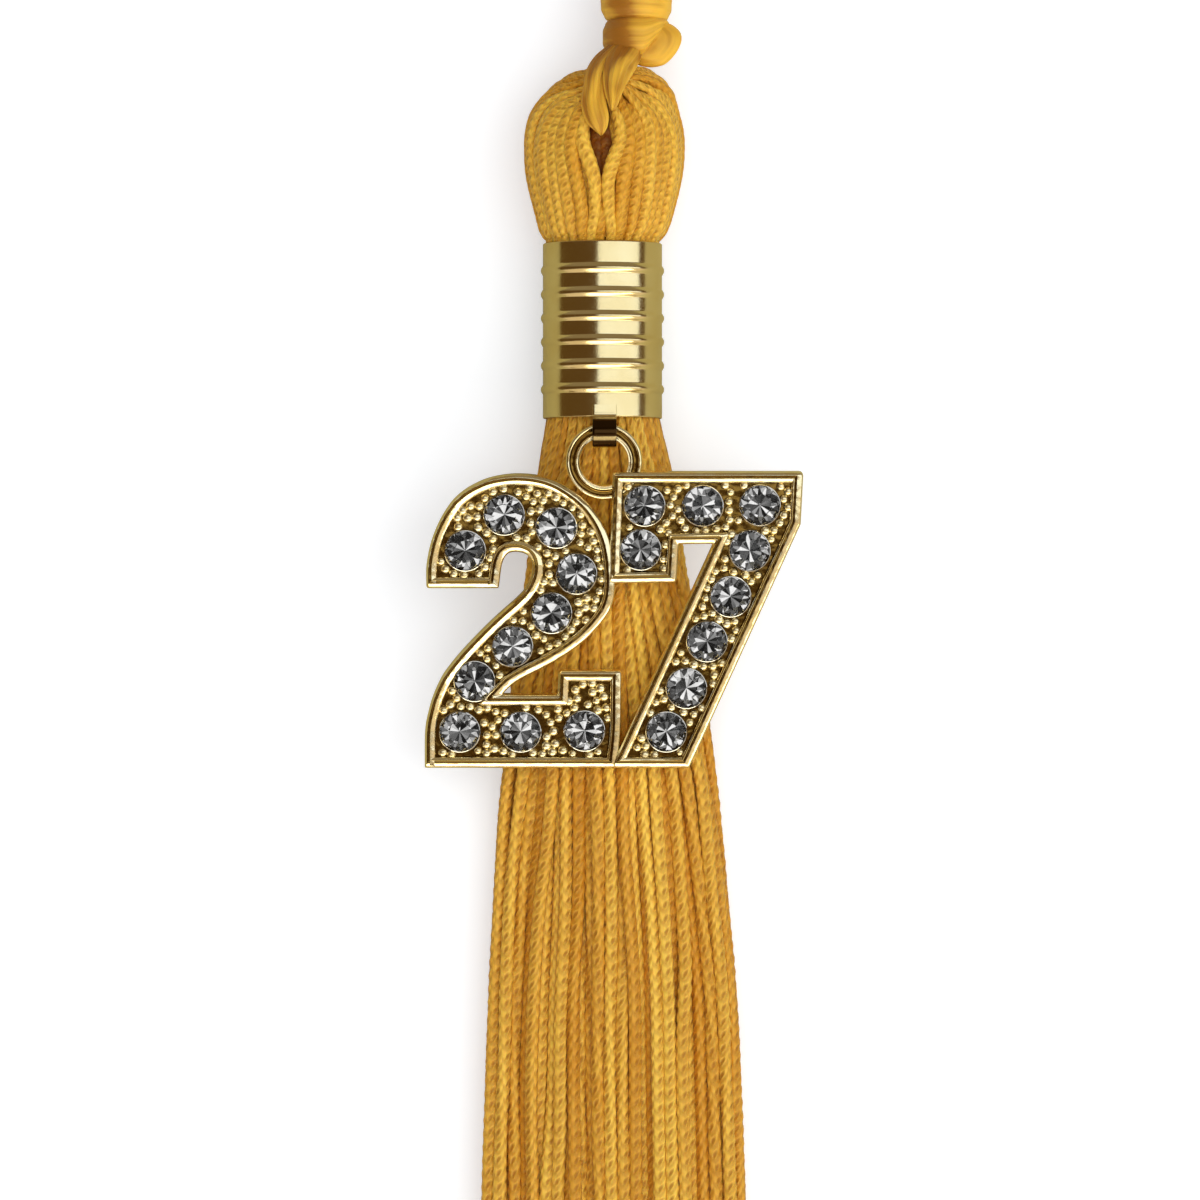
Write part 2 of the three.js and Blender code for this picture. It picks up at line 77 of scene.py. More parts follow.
class Body(Enum):
    """The two bodies of the frame that a piece can ride on."""

    TASSEL = "tassel"
    CHARM = "charm_body"


class Seen(Enum):
    """The surfaces that a light panel shows in."""

    ALL = "all"
    MIRRORS = "mirrors"
    MATT = "matt"


class Slot(Enum):
    """The record's material slots."""

    YARN = "rayon_yarn"
    CORD = "satin_cord"
    POLISHED = "polished_gold"
    ANTIQUE = "antique_gold"
    STONE = "clear_stone"


# Plain geometry


@dataclass
class Shape:
    """Points in millimetres, the faces between them and values held at the points."""

    points: Array
    faces: list[Faces]
    values: dict[str, Array] = field(default_factory=dict)

    def outward(self) -> "Shape":
        """Turns every face over if the closed shape's signed volume is negative.

        Returns:
            The shape itself.
        """
        volume = 0.0
        for group in self.faces:
            first = self.points[group[:, 0]]
            for corner in range(1, group.shape[1] - 1):
                pair = np.cross(self.points[group[:, corner]], self.points[group[:, corner + 1]])
                volume += float((first * pair).sum())
        if volume < 0:
            self.faces = [group[:, ::-1] for group in self.faces]
        return self


def unit(vectors: Array) -> Array:
    """Scales vectors along the last axis to length one."""
    return vectors / np.maximum(np.linalg.norm(vectors, axis=-1, keepdims=True), 1e-12)


def ease(low: float, high: float, value: Array) -> Array:
    """Rises smoothly from 0 at low to 1 at high: 3t² − 2t³ of the share t between them."""
    share = np.clip((value - low) / (high - low), 0.0, 1.0)
    return share * share * (3 - 2 * share)


def spline(rows: Array, places: Array) -> Array:
    """Follows a Catmull-Rom curve: in each span the cubic of its four nearest rows.

    Args:
        rows: The curve's rows, of any number of columns.
        places: Places along it, counted in rows from 0.

    Returns:
        One row for each place.
    """
    padded = np.concatenate([2 * rows[:1] - rows[1:2], rows, 2 * rows[-1:] - rows[-2:-1]])
    span = np.clip(np.floor(places).astype(int), 0, len(rows) - 2)
    share = (places - span)[:, None]
    before, near, far, after = (padded[span + step] for step in range(4))
    linear = (far - before) * share
    square = (2 * before - 5 * near + 4 * far - after) * share**2
    cube = (3 * near - before - 3 * far + after) * share**3
    return 0.5 * (2 * near + linear + square + cube)


def even_spline(rows: Array, count: int) -> Array:
    """Follows the same curve with its first three columns at even distances.

    Args:
        rows: The curve's rows; x, y and z come first.
        count: The number of rows wanted.

    Returns:
        The rows at even steps of length.
    """
    fine = spline(rows, np.linspace(0, len(rows) - 1, 40 * len(rows)))
    steps = np.linalg.norm(np.diff(fine[:, :3], axis=0), axis=1)
    length = np.concatenate([[0.0], np.cumsum(steps)])
    wanted = np.linspace(0, length[-1], count)
    return np.stack([np.interp(wanted, length, column) for column in fine.T], axis=1)


def rested(points: Array) -> Array:
    """Flattens what would sink into the table: no point lies lower than its top."""
    return np.stack([points[..., 0], points[..., 1], np.maximum(points[..., 2], TABLE_GAP)], axis=-1)


def carried(centres: Array, uppers: Array, offsets: Array) -> Array:
    """Carries a section along a path: centre + across·side + up·upper at each step.

    Args:
        centres: The path's points, (..., n, 3).
        uppers: Directions that the section's second axis leans to, (..., n, 3).
        offsets: The section's points at each step, (..., n, k, 2).

    Returns:
        The surface's points, (..., n, k, 3).
    """
    along = unit(np.gradient(centres, axis=-2))
    upper = unit(uppers - (uppers * along).sum(-1, keepdims=True) * along)
    side = np.cross(upper, along)
    across = offsets[..., 0:1] * side[..., None, :]
    return centres[..., None, :] + across + offsets[..., 1:2] * upper[..., None, :]


def turns(count: int) -> Array:
    """Even angles once round, without the last one."""
    return np.linspace(0, 2 * np.pi, count, endpoint=False)


def ring_quads(number: Faces) -> Faces:
    """Joins each ring of points to the next one.

    Args:
        number: The points' numbers, (..., rings, sides).

    Returns:
        The four-sided faces between the rings.
    """
    beside = np.roll(number, -1, axis=-1)
    first, second = (number[..., :-1, :], beside[..., :-1, :]), (beside[..., 1:, :], number[..., 1:, :])
    return np.stack([*first, *second], axis=-1).reshape(-1, 4)


def tube_faces(tubes: int, rings: int, sides: int) -> list[Faces]:
    """Faces of tubes whose points are numbered tube by tube and ring by ring.

    Args:
        tubes: The number of tubes.
        rings: The number of rings along a tube.
        sides: The number of points round a ring.

    Returns:
        The quads of the walls, and the caps at both ends.
    """
    number = np.arange(tubes * rings * sides).reshape(tubes, rings, sides)
    return [ring_quads(number), number[:, 0, ::-1], number[:, -1]]


def hoop_faces(rings: int, sides: int) -> list[Faces]:
    """Faces of one ring-shaped surface that closes on itself both ways.

    Args:
        rings: The number of sections round the ring.
        sides: The number of points round a section.

    Returns:
        The quads.
    """
    number = np.arange(rings * sides).reshape(rings, sides)
    return [ring_quads(np.concatenate([number, number[:1]]))]


def spun(profile: Array, steps: int) -> Shape:
    """Spins a closed profile about the Y axis: (r·sin a, y, r·cos a) for each angle a.

    Args:
        profile: Rows of radius and y that go once round the section.
        steps: The number of steps round the axis.

    Returns:
        The ring-shaped shape.
    """
    angle = turns(steps)[:, None]
    radius, height = profile[:, 0], profile[:, 1]
    rows = [radius * np.sin(angle), height + 0 * angle, radius * np.cos(angle)]
    points = np.stack(rows, axis=-1).reshape(-1, 3)
    return Shape(points, hoop_faces(steps, len(profile))).outward()


def rounded_rows(rows: list[tuple[float, float]], count: int) -> Array:
    """Even rows along the Catmull-Rom curve of a short two-column table."""
    table = np.array([(first, second, 0.0) for first, second in rows])
    return even_spline(table, count)[:, :2]


@dataclass(frozen=True)
class Chain:
    """A chainette strand's stitches, in shares of a column across and of a stitch along.

    A column's stitches are sheared by 'lean' and its holes by 'slant'. The legs rise by
    'swell' and the holes sink by 'dip', in shares of the radius. Over 'turn_mm' a strand
    usually twists by up to one turn, either way.
    """

    columns: int = 3
    lean: float = 0.3
    slant: float = 0.45
    legs: float = 0.9
    hole: tuple[float, float] = (0.19, 0.27)
    swell: float = 0.07
    dip: float = 0.22
    turn_mm: float = 60.0


CHAIN = Chain()


# Shader graphs


class Graph:
    """A node tree with short ways to add and join its nodes."""

    def __init__(self, tree: bpy.types.NodeTree) -> None:
        """Keeps the tree."""
        self.tree = tree

    def feed(self, node: bpy.types.Node, sockets: dict) -> None:
        """Sets the inputs of a node.

        Args:
            node: The node.
            sockets: For each input, its value or the output that feeds it.
        """
        for name, value in sockets.items():
            if isinstance(value, bpy.types.NodeSocket):
                self.tree.links.new(value, node.inputs[name])
            else:
                node.inputs[name].default_value = value

    def add(self, kind: str, sockets: dict | None = None, **settings: object) -> bpy.types.Node:
        """Adds a node.

        Args:
            kind: Blender's type name, without a leading ShaderNode.
            sockets: For each input, its value or the output that feeds it.
            **settings: The node's own properties.

        Returns:
            The node.
        """
        node = self.tree.nodes.new(kind if kind.startswith("Node") else f"ShaderNode{kind}")
        for name, value in settings.items():
            setattr(node, name, value)
        self.feed(node, sockets or {})
        return node

    def blend(self, share: object, low: object, high: object) -> object:
        """Mixes two colours.

        Args:
            share: The share of the second colour.
            low: The first colour, or the output that gives it.
            high: The second colour, or the output that gives it.

        Returns:
            The mixed colour's output.
        """
        node = self.add("Mix", data_type="RGBA", blend_type="MIX", clamp_factor=False)
        first, second = (
            value if isinstance(value, bpy.types.NodeSocket) else (*value, 1.0) for value in (low, high)
        )
        self.feed(node, {0: share, 6: first, 7: second})
        return node.outputs[2]

    def math(self, operation: str, *values: object) -> object:
        """Adds a Math node with its inputs in order and gives its output."""
        return self.add("Math", dict(enumerate(values)), operation=operation).outputs[0]

    def spread(self, value: object, bounds: tuple[float, float, float, float]) -> object:
        """Maps a value evenly from one range to another, clamped at the ends.

        Args:
            value: The value's output.
            bounds: The two ends of the first range, then those of the second.

        Returns:
            The mapped value's output.
        """
        names = ("From Min", "From Max", "To Min", "To Max")
        return self.add("MapRange", {"Value": value, **dict(zip(names, bounds))}).outputs["Result"]

    def noise(self, place: object, scale: object, detail: float = 2.0) -> object:
        """Adds a noise texture.

        Args:
            place: The output that gives the place at which it is read.
            scale: Its scale.
            detail: Its number of finer layers.

        Returns:
            The output that gives its value.
        """
        return self.add("TexNoise", {"Vector": place, "Scale": scale, "Detail": detail}).outputs["Fac"]

    def bump(self, height: object, strength: float, distance: float, under: object = None) -> object:
        """Adds a Bump node.

        Args:
            height: The output that gives the height.
            strength: The strength of its effect.
            distance: The height of a value of 1, in metres.
            under: The normal's output that it adds to, if there is one.

        Returns:
            The new normal's output.
        """
        node = self.add("Bump", {"Height": height, "Strength": strength, "Distance": distance})
        if under is not None:
            self.feed(node, {"Normal": under})
        return node.outputs["Normal"]


def new_group(name: str, inputs: dict[str, str], masks: tuple[str, str]) -> tuple[Graph, object, object]:
    """Makes an empty node group.

    Args:
        name: The group's name.
        inputs: For each input, Vector or Float.
        masks: The names of its two outputs.

    Returns:
        The group's graph, its input node and its output node.
    """
    tree = bpy.data.node_groups.new(name, "ShaderNodeTree")
    for label, kind in inputs.items():
        tree.interface.new_socket(label, in_out="INPUT", socket_type=f"NodeSocket{kind}")
    for label in masks:
        tree.interface.new_socket(label, in_out="OUTPUT", socket_type="NodeSocketFloat")
    graph = Graph(tree)
    return graph, graph.add("NodeGroupInput"), graph.add("NodeGroupOutput")


def streak_group() -> bpy.types.NodeTree:
    """Fine filaments and slow cloudy changes along a thread, from its fibre coordinates.

    Returns:
        The node group, with the masks Fine and Slow from 0 to 1.
    """
    inputs = {"Fibre": "Vector", "Count": "Float", "Run": "Float"}
    graph, given, result = new_group("thread_streaks", inputs, ("Fine", "Slow"))
    fibre, count = given.outputs["Fibre"], given.outputs["Count"]
    stretch = graph.add("CombineXYZ", {"X": count, "Y": count, "Z": given.outputs["Run"]})
    drawn = graph.add("VectorMath", {0: fibre, 1: stretch.outputs[0]}, operation="MULTIPLY")
    fine = graph.spread(graph.noise(drawn.outputs[0], 1.0), NOISE_RANGE)
    slow = graph.spread(graph.noise(fibre, 0.35, 1.0), NOISE_RANGE)
    graph.feed(result, {"Fine": fine, "Slow": slow})
    return graph.tree


def stitch_group() -> bpy.types.NodeTree:
    """The knitted relief of a chainette strand, from its thread coordinates.

    The angle round the strand is measured in columns, and u is the distance from the nearest
    column's middle. v is the distance along the strand from that column's nearest hole, in
    stitches, sheared by the lean. A hole is a slanted oval about u = v = 0, and the legs of
    the stitches are the crests of cos 2π(v + legs·|u|).

    Returns:
        The node group, with the masks Hole and Leg from 0 to 1.
    """
    graph, given, result = new_group("chain_stitch", {"Thread": "Vector"}, ("Hole", "Leg"))
    axes = graph.add("SeparateXYZ", {"Vector": given.outputs["Thread"]})
    angle = graph.math("ARCTAN2", axes.outputs["Y"], axes.outputs["X"])
    around = graph.math("MULTIPLY", angle, CHAIN.columns / (2 * math.pi))
    column = graph.math("ROUND", around)
    across = graph.math("SUBTRACT", around, column)
    shifted = graph.math("MULTIPLY_ADD", column, 1 / CHAIN.columns, axes.outputs["Z"])
    leaning = graph.math("MULTIPLY_ADD", across, -CHAIN.lean, shifted)
    place = graph.math("SUBTRACT", leaning, graph.math("ROUND", leaning))
    slanted = graph.math("MULTIPLY_ADD", place, -CHAIN.slant, across)
    wide = graph.math("MULTIPLY", slanted, 1 / CHAIN.hole[0])
    tall = graph.math("MULTIPLY", place, 1 / CHAIN.hole[1])
    size = graph.math("MULTIPLY_ADD", wide, wide, graph.math("MULTIPLY", tall, tall))
    side = graph.math("ABSOLUTE", across)
    swing = graph.math("MULTIPLY", graph.math("MULTIPLY_ADD", side, CHAIN.legs, place), 2 * math.pi)
    hole = graph.spread(size, (0.1, 1.5, 1.0, 0.0))
    leg = graph.spread(graph.math("COSINE", swing), (-1.0, 1.0, 0.0, 1.0))
    graph.feed(result, {"Hole": hole, "Leg": leg})
    return graph.tree


def tarnish_group() -> bpy.types.NodeTree:
    """Cloudy tarnish and fine polishing marks on plated metal, from Object coordinates.

    Returns:
        The node group, with the masks Cloud and Marks from 0 to 1.
    """
    inputs = {"Place": "Vector", "Cloud Size": "Float"}
    graph, given, result = new_group("plating_wear", inputs, ("Cloud", "Marks"))
    place = given.outputs["Place"]
    cloud = graph.spread(graph.noise(place, given.outputs["Cloud Size"], 3.0), (0.35, 0.65, 0.0, 1.0))
    marks = graph.spread(graph.noise(place, 6000.0), NOISE_RANGE)
    graph.feed(result, {"Cloud": cloud, "Marks": marks})
    return graph.tree


STREAKS = streak_group()
STITCHES = stitch_group()
TARNISH = tarnish_group()


def new_material(name: str) -> tuple[bpy.types.Material, Graph, bpy.types.Node]:
    """Makes an empty material.

    Args:
        name: The material's name.

    Returns:
        The material, its graph and its Principled shader.
    """
    material = bpy.data.materials.new(name)
    material.use_nodes = True
    material.node_tree.nodes.clear()
    graph = Graph(material.node_tree)
    shader = graph.add("BsdfPrincipled")
    graph.add("OutputMaterial", {"Surface": shader.outputs["BSDF"]})
    return material, graph, shader


@dataclass(frozen=True)
class ThreadFinish:
    """Rayon thread: streaky, with painted shade in its stitch holes, between its stitch legs and where
    its tone is low, and a soft sheen.
    """

    name: str
    slot: Slot
    light: Color
    dark: Color
    # The next two colours are painted shade: one in the stitch holes and between the legs, a deeper one
    # where the tone is low.
    groove: Color
    deep_shade: Color
    roughness: float
    sheen: float
    filaments: float
    run: float
    bump: float
    streaks: float
    stitched: float

    def material(self) -> bpy.types.Material:
        """Mixes light and dark by strand and streak, then paints deeper shade where the tone is low and
        shade in the stitch holes and grooves.

        Returns:
            The material.
        """
        material, graph, shader = new_material(self.name)
        fibre = graph.add("Attribute", attribute_name="thread").outputs["Vector"]
        tone_and_painted_light = graph.add("Attribute", attribute_name="tone_and_painted_light").outputs["Fac"]
        sizes = {"Fibre": fibre, "Count": self.filaments, "Run": self.run}
        streaks = graph.add("Group", sizes, node_tree=STREAKS)
        stitches = graph.add("Group", {"Thread": fibre}, node_tree=STITCHES)
        fine, hole, leg = streaks.outputs["Fine"], stitches.outputs["Hole"], stitches.outputs["Leg"]
        both = graph.math("ADD", fine, streaks.outputs["Slow"])
        mixed = graph.math("MULTIPLY_ADD", both, self.streaks, tone_and_painted_light)
        color = graph.blend(graph.spread(mixed, (0.1, 1.1, 0.0, 1.0)), self.dark, self.light)
        # Painted deeper shade where the tone is low.
        color = graph.blend(graph.spread(tone_and_painted_light, (-1.2, -0.3, 1.0, 0.0)), color, self.deep_shade)
        # Painted shade in the stitch holes and in the low places between the legs.
        low = graph.spread(leg, (0.0, 0.7, 0.5, 0.0))
        depth = graph.math("MULTIPLY", graph.math("MAXIMUM", hole, low), self.stitched)
        relief = graph.math("MULTIPLY_ADD", hole, -1.2, leg)
        knit = graph.bump(relief, self.stitched, 0.00014)
        graph.feed(shader, {
            "Base Color": graph.blend(depth, color, self.groove),
            "Normal": graph.bump(fine, self.bump, 0.00005, knit),
            "Roughness": self.roughness,
            "Sheen Weight": self.sheen,
            "Sheen Roughness": 0.4,
            "Sheen Tint": (1.0, 0.8, 0.4, 1.0),
            "Specular Tint": (1.0, 0.8, 0.42, 1.0),
            "Subsurface Weight": 0.2,
            "Subsurface Radius": (1.0, 0.4, 0.1),
            "Subsurface Scale": 0.0005,
        })
        return material


@dataclass(frozen=True)
class MetalFinish:
    """Gold-coloured plating, darkened towards a dark colour by patina and painted shade held at its
    points.
    """

    name: str
    slot: Slot
    bright: Color
    cloudy: Color
    patina_and_shade: Color
    roughness: tuple[float, float]
    cloud_size: float
    bump: float
    wave_size: float
    wave: float

    def material(self) -> bpy.types.Material:
        """Mixes bright plating, its cloudy tarnish and a dark colour for patina and painted shade.

        Returns:
            The material.
        """
        material, graph, shader = new_material(self.name)
        place = graph.add("TexCoord").outputs["Object"]
        # Patina in hollows and painted shade, as values held at the points.
        patina_and_shade = graph.add("Attribute", attribute_name="patina_and_shade").outputs["Fac"]
        wear = graph.add("Group", {"Place": place, "Cloud Size": self.cloud_size}, node_tree=TARNISH)
        marks = wear.outputs["Marks"]
        metal = graph.blend(wear.outputs["Cloud"], self.bright, self.cloudy)
        wave = graph.bump(graph.noise(place, self.wave_size, 0.0), self.wave, 0.0001)
        graph.feed(shader, {
            "Base Color": graph.blend(patina_and_shade, metal, self.patina_and_shade),
            "Roughness": graph.spread(marks, (0.0, 1.0, *self.roughness)),
            "Normal": graph.bump(marks, self.bump, 0.00002, wave),
            "Metallic": 1.0,
        })
        return material


@dataclass(frozen=True)
class GlassFinish:
    """Clear glass of a stone's crown and table."""

    name: str
    slot: Slot
    tint: Color
    ior: float

    def material(self) -> bpy.types.Material:
        """A clear refracting body with faint clouding in its colour.

        Returns:
            The material.
        """
        material, graph, shader = new_material(self.name)
        cloud = graph.noise(graph.add("TexCoord").outputs["Object"], 900.0)
        clouded = tuple(0.94 * part for part in self.tint)
        graph.feed(shader, {
            "Base Color": graph.blend(graph.spread(cloud, NOISE_RANGE), self.tint, clouded),
            "Roughness": 0.0,
            "Transmission Weight": 1.0,
            "IOR": self.ior,
        })
        return material


Finish = ThreadFinish | MetalFinish | GlassFinish

YARN_FINISH = ThreadFinish(
    name="rayon_yarn", slot=Slot.YARN, light=(0.99, 0.61, 0.085), dark=(0.67, 0.28, 0.018),
    groove=(0.35, 0.115, 0.006), deep_shade=(0.2, 0.05, 0.006), roughness=0.4, sheen=0.1, filaments=5.0,
    run=1.1, bump=0.4, streaks=0.25, stitched=0.82,
)
# Dark yarn colours that paint the shade inside the head.
CORE_PAINTED_SHADE_FINISH = ThreadFinish(
    name="shaded_yarn", slot=Slot.YARN, light=(0.42, 0.13, 0.012), dark=(0.24, 0.055, 0.008),
    groove=(0.24, 0.055, 0.008), deep_shade=(0.2, 0.05, 0.006), roughness=0.6, sheen=0.0, filaments=6.0,
    run=0.5, bump=0.5, streaks=0.25, stitched=0.0,
)
HEAD_FINISH = replace(
    YARN_FINISH, name="head_yarn", light=(0.98, 0.58, 0.07), dark=(0.74, 0.34, 0.022), bump=0.6,
    streaks=0.32, stitched=0.66,
)
CORD_FINISH = ThreadFinish(
    name="satin_cord", slot=Slot.CORD, light=(0.93, 0.52, 0.05), dark=(0.42, 0.16, 0.015),
    groove=(0.45, 0.2, 0.03), deep_shade=(0.3, 0.1, 0.01), roughness=0.34, sheen=0.1, filaments=3.2,
    run=0.12, bump=1.0, streaks=0.5, stitched=0.0,
)
POLISHED_FINISH = MetalFinish(
    name="polished_gold", slot=Slot.POLISHED, bright=(0.84, 0.73, 0.44), cloudy=(0.8, 0.67, 0.37),
    patina_and_shade=(0.3, 0.17, 0.05), roughness=(0.13, 0.22), cloud_size=300.0, bump=0.06,
    wave_size=320.0, wave=0.4,
)
# The bail's plating, with a near-black colour for painted shade.
BAIL_PAINTED_SHADE_FINISH = replace(POLISHED_FINISH, name="shaded_gold", patina_and_shade=(0.05, 0.025, 0.008))
ANTIQUE_FINISH = MetalFinish(
    name="antique_gold", slot=Slot.ANTIQUE, bright=(0.98, 0.9, 0.64), cloudy=(0.94, 0.81, 0.47),
    patina_and_shade=(0.24, 0.14, 0.03), roughness=(0.1, 0.18), cloud_size=420.0, bump=0.08,
    wave_size=1500.0, wave=0.35,
)
GRAIN_FINISH = replace(ANTIQUE_FINISH, name="grain_gold", roughness=(0.24, 0.32))
GLASS_FINISH = GlassFinish(name="clear_glass", slot=Slot.STONE, tint=(0.99, 0.99, 0.985), ior=1.26)
FOIL_FINISH = MetalFinish(
    name="foil_back", slot=Slot.STONE, bright=(0.78, 0.775, 0.77), cloudy=(0.68, 0.675, 0.67),
    patina_and_shade=(0.5, 0.5, 0.5), roughness=(0.02, 0.05), cloud_size=800.0, bump=0.0,
    wave_size=800.0, wave=0.0,
)


class Palette:
    """Makes each finish's material once."""

    def __init__(self) -> None:
        """Starts with no materials."""
        self.made: dict[str, bpy.types.Material] = {}

    def of(self, finish: Finish) -> bpy.types.Material:
        """Gives a finish's material.

        Args:
            finish: The finish.

        Returns:
            Its material, made on first use.
        """
        if finish.name not in self.made:
            self.made[finish.name] = finish.material()
        return self.made[finish.name]


PALETTE = Palette()


def make_piece(
    name: str,
    shape: Shape,
    finishes: list[Finish],
    body: Body,
    nodes: list[str],
    crease: float | None = None,
    finish_of_face: Array | None = None,
) -> bpy.types.Object:
    """Makes a Blender object of a shape, dresses it and sets it on its body.

    Args:
        name: The piece's name.
        shape: Its points, faces and values.
        finishes: Its finishes, one for each of its materials.
        body: The body that it rides on.
        nodes: The frame's nodes that it stands for.
        crease: The angle in degrees above which an edge is sharp, or None for smooth.
        finish_of_face: For each face, the number of its finish.

    Returns:
        The object.
    """
    mesh = bpy.data.meshes.new(name)
    points = (shape.points + (0.0, SLEEVE_TOP_MM, 0.0)) * MM
    corners = np.concatenate([group.ravel() for group in shape.faces])
    totals = np.concatenate([np.full(len(group), group.shape[1]) for group in shape.faces])
    starts = np.cumsum(totals) - totals
    mesh.vertices.add(len(points))
    mesh.vertices.foreach_set("co", points.ravel())
    mesh.loops.add(len(corners))
    mesh.loops.foreach_set("vertex_index", corners)
    mesh.polygons.add(len(totals))
    mesh.polygons.foreach_set("loop_start", starts)
    mesh.polygons.foreach_set("use_smooth", np.ones(len(totals), bool))
    for label, value in shape.values.items():
        kind, key = ("FLOAT_VECTOR", "vector") if value.ndim == 2 else ("FLOAT", "value")
        mesh.attributes.new(label, kind, "POINT").data.foreach_set(key, value.ravel())
    mesh.update(calc_edges=True)
    for finish in finishes:
        mesh.materials.append(PALETTE.of(finish))
    if finish_of_face is not None:
        mesh.polygons.foreach_set("material_index", finish_of_face)
    if crease is not None:
        mesh.set_sharp_from_angle(angle=math.radians(crease))
    piece = bpy.data.objects.new(name, mesh)
    bpy.context.scene.collection.objects.link(piece)
    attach(piece, body.value)
    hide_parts(*nodes)
    LOG.info("%s: %d points, %d faces, on %s", name, len(points), len(totals), body.value)
    return piece


# Chainette yarn


def strands(
    paths: Array, uppers: Array, sizes: tuple[Array, Array], stitch_mm: float, fine: float, seed: int,
    shade: Array | None = None,
) -> Shape:
    """Knits strands along their paths: a tube of three stitch columns that turns slowly.

    At the angle a and the length s along the strand its radius is
    1 + swell·cos 2π(v + legs·|u|) − dip·hole(u, v), with u and v as in the shader's stitches.

    Args:
        paths: The strands' middle lines, (strands, steps, 3).
        uppers: Directions out of the surface that they lie in, (strands, steps, 3).
        sizes: Half widths along the surface and half depths out of it, (strands, steps) each.
        stitch_mm: The length of a stitch.
        fine: The depth of its relief. Without relief each column has two points, not three.
        seed: The seed of the strands' own phases and tones.
        shade: How much darker each strand is at each step, if they differ, (strands, steps).

    Returns:
        All strands as one shape, with thread values and tone values of random tone less painted shade.
    """
    draw = np.random.default_rng(seed)
    count, steps = paths.shape[:2]
    sides = CHAIN.columns * (3 if fine else 2)
    angle = turns(sides)
    pace = np.linalg.norm(np.diff(paths, axis=1), axis=2)
    length = np.concatenate([np.zeros((count, 1)), np.cumsum(pace, axis=1)], axis=1)
    run = length / stitch_mm + draw.uniform(0, 300, (count, 1))
    around = angle * CHAIN.columns / (2 * np.pi)
    column = np.round(around)
    across = around - column
    place = run[..., None] + column / CHAIN.columns - CHAIN.lean * across
    place = place - np.round(place)
    leg = np.cos(2 * np.pi * (place + CHAIN.legs * np.abs(across)))
    slanted = across - CHAIN.slant * place
    hole = np.exp(-((slanted / CHAIN.hole[0]) ** 2) - (place / CHAIN.hole[1]) ** 2)
    radius = 1 + fine * (CHAIN.swell * leg - CHAIN.dip * hole)
    start = draw.uniform(0, 2 * np.pi, (count, 1))
    twist = draw.normal(0, 2 * np.pi / CHAIN.turn_mm, (count, 1))
    turned = angle + (start + length * twist)[..., None]
    across_mm = np.cos(turned) * radius * sizes[0][..., None]
    upward_mm = np.sin(turned) * radius * sizes[1][..., None]
    points = rested(carried(paths, uppers, np.stack([across_mm, upward_mm], axis=-1)))
    rows = [np.cos(angle) + 0 * turned, np.sin(angle) + 0 * turned, run[..., None] + 0 * turned]
    # Each strand's random tone, less the painted shade given for it.
    tone_and_painted_light = draw.uniform(-0.15, 0.8, (count, 1, 1)) - (0.0 if shade is None else shade[..., None])
    tone_and_painted_light = np.broadcast_to(tone_and_painted_light, turned.shape)
    values = {"thread": np.stack(rows, axis=-1).reshape(-1, 3), "tone_and_painted_light": tone_and_painted_light.ravel()}
    return Shape(points.reshape(-1, 3), tube_faces(count, steps, sides), values)


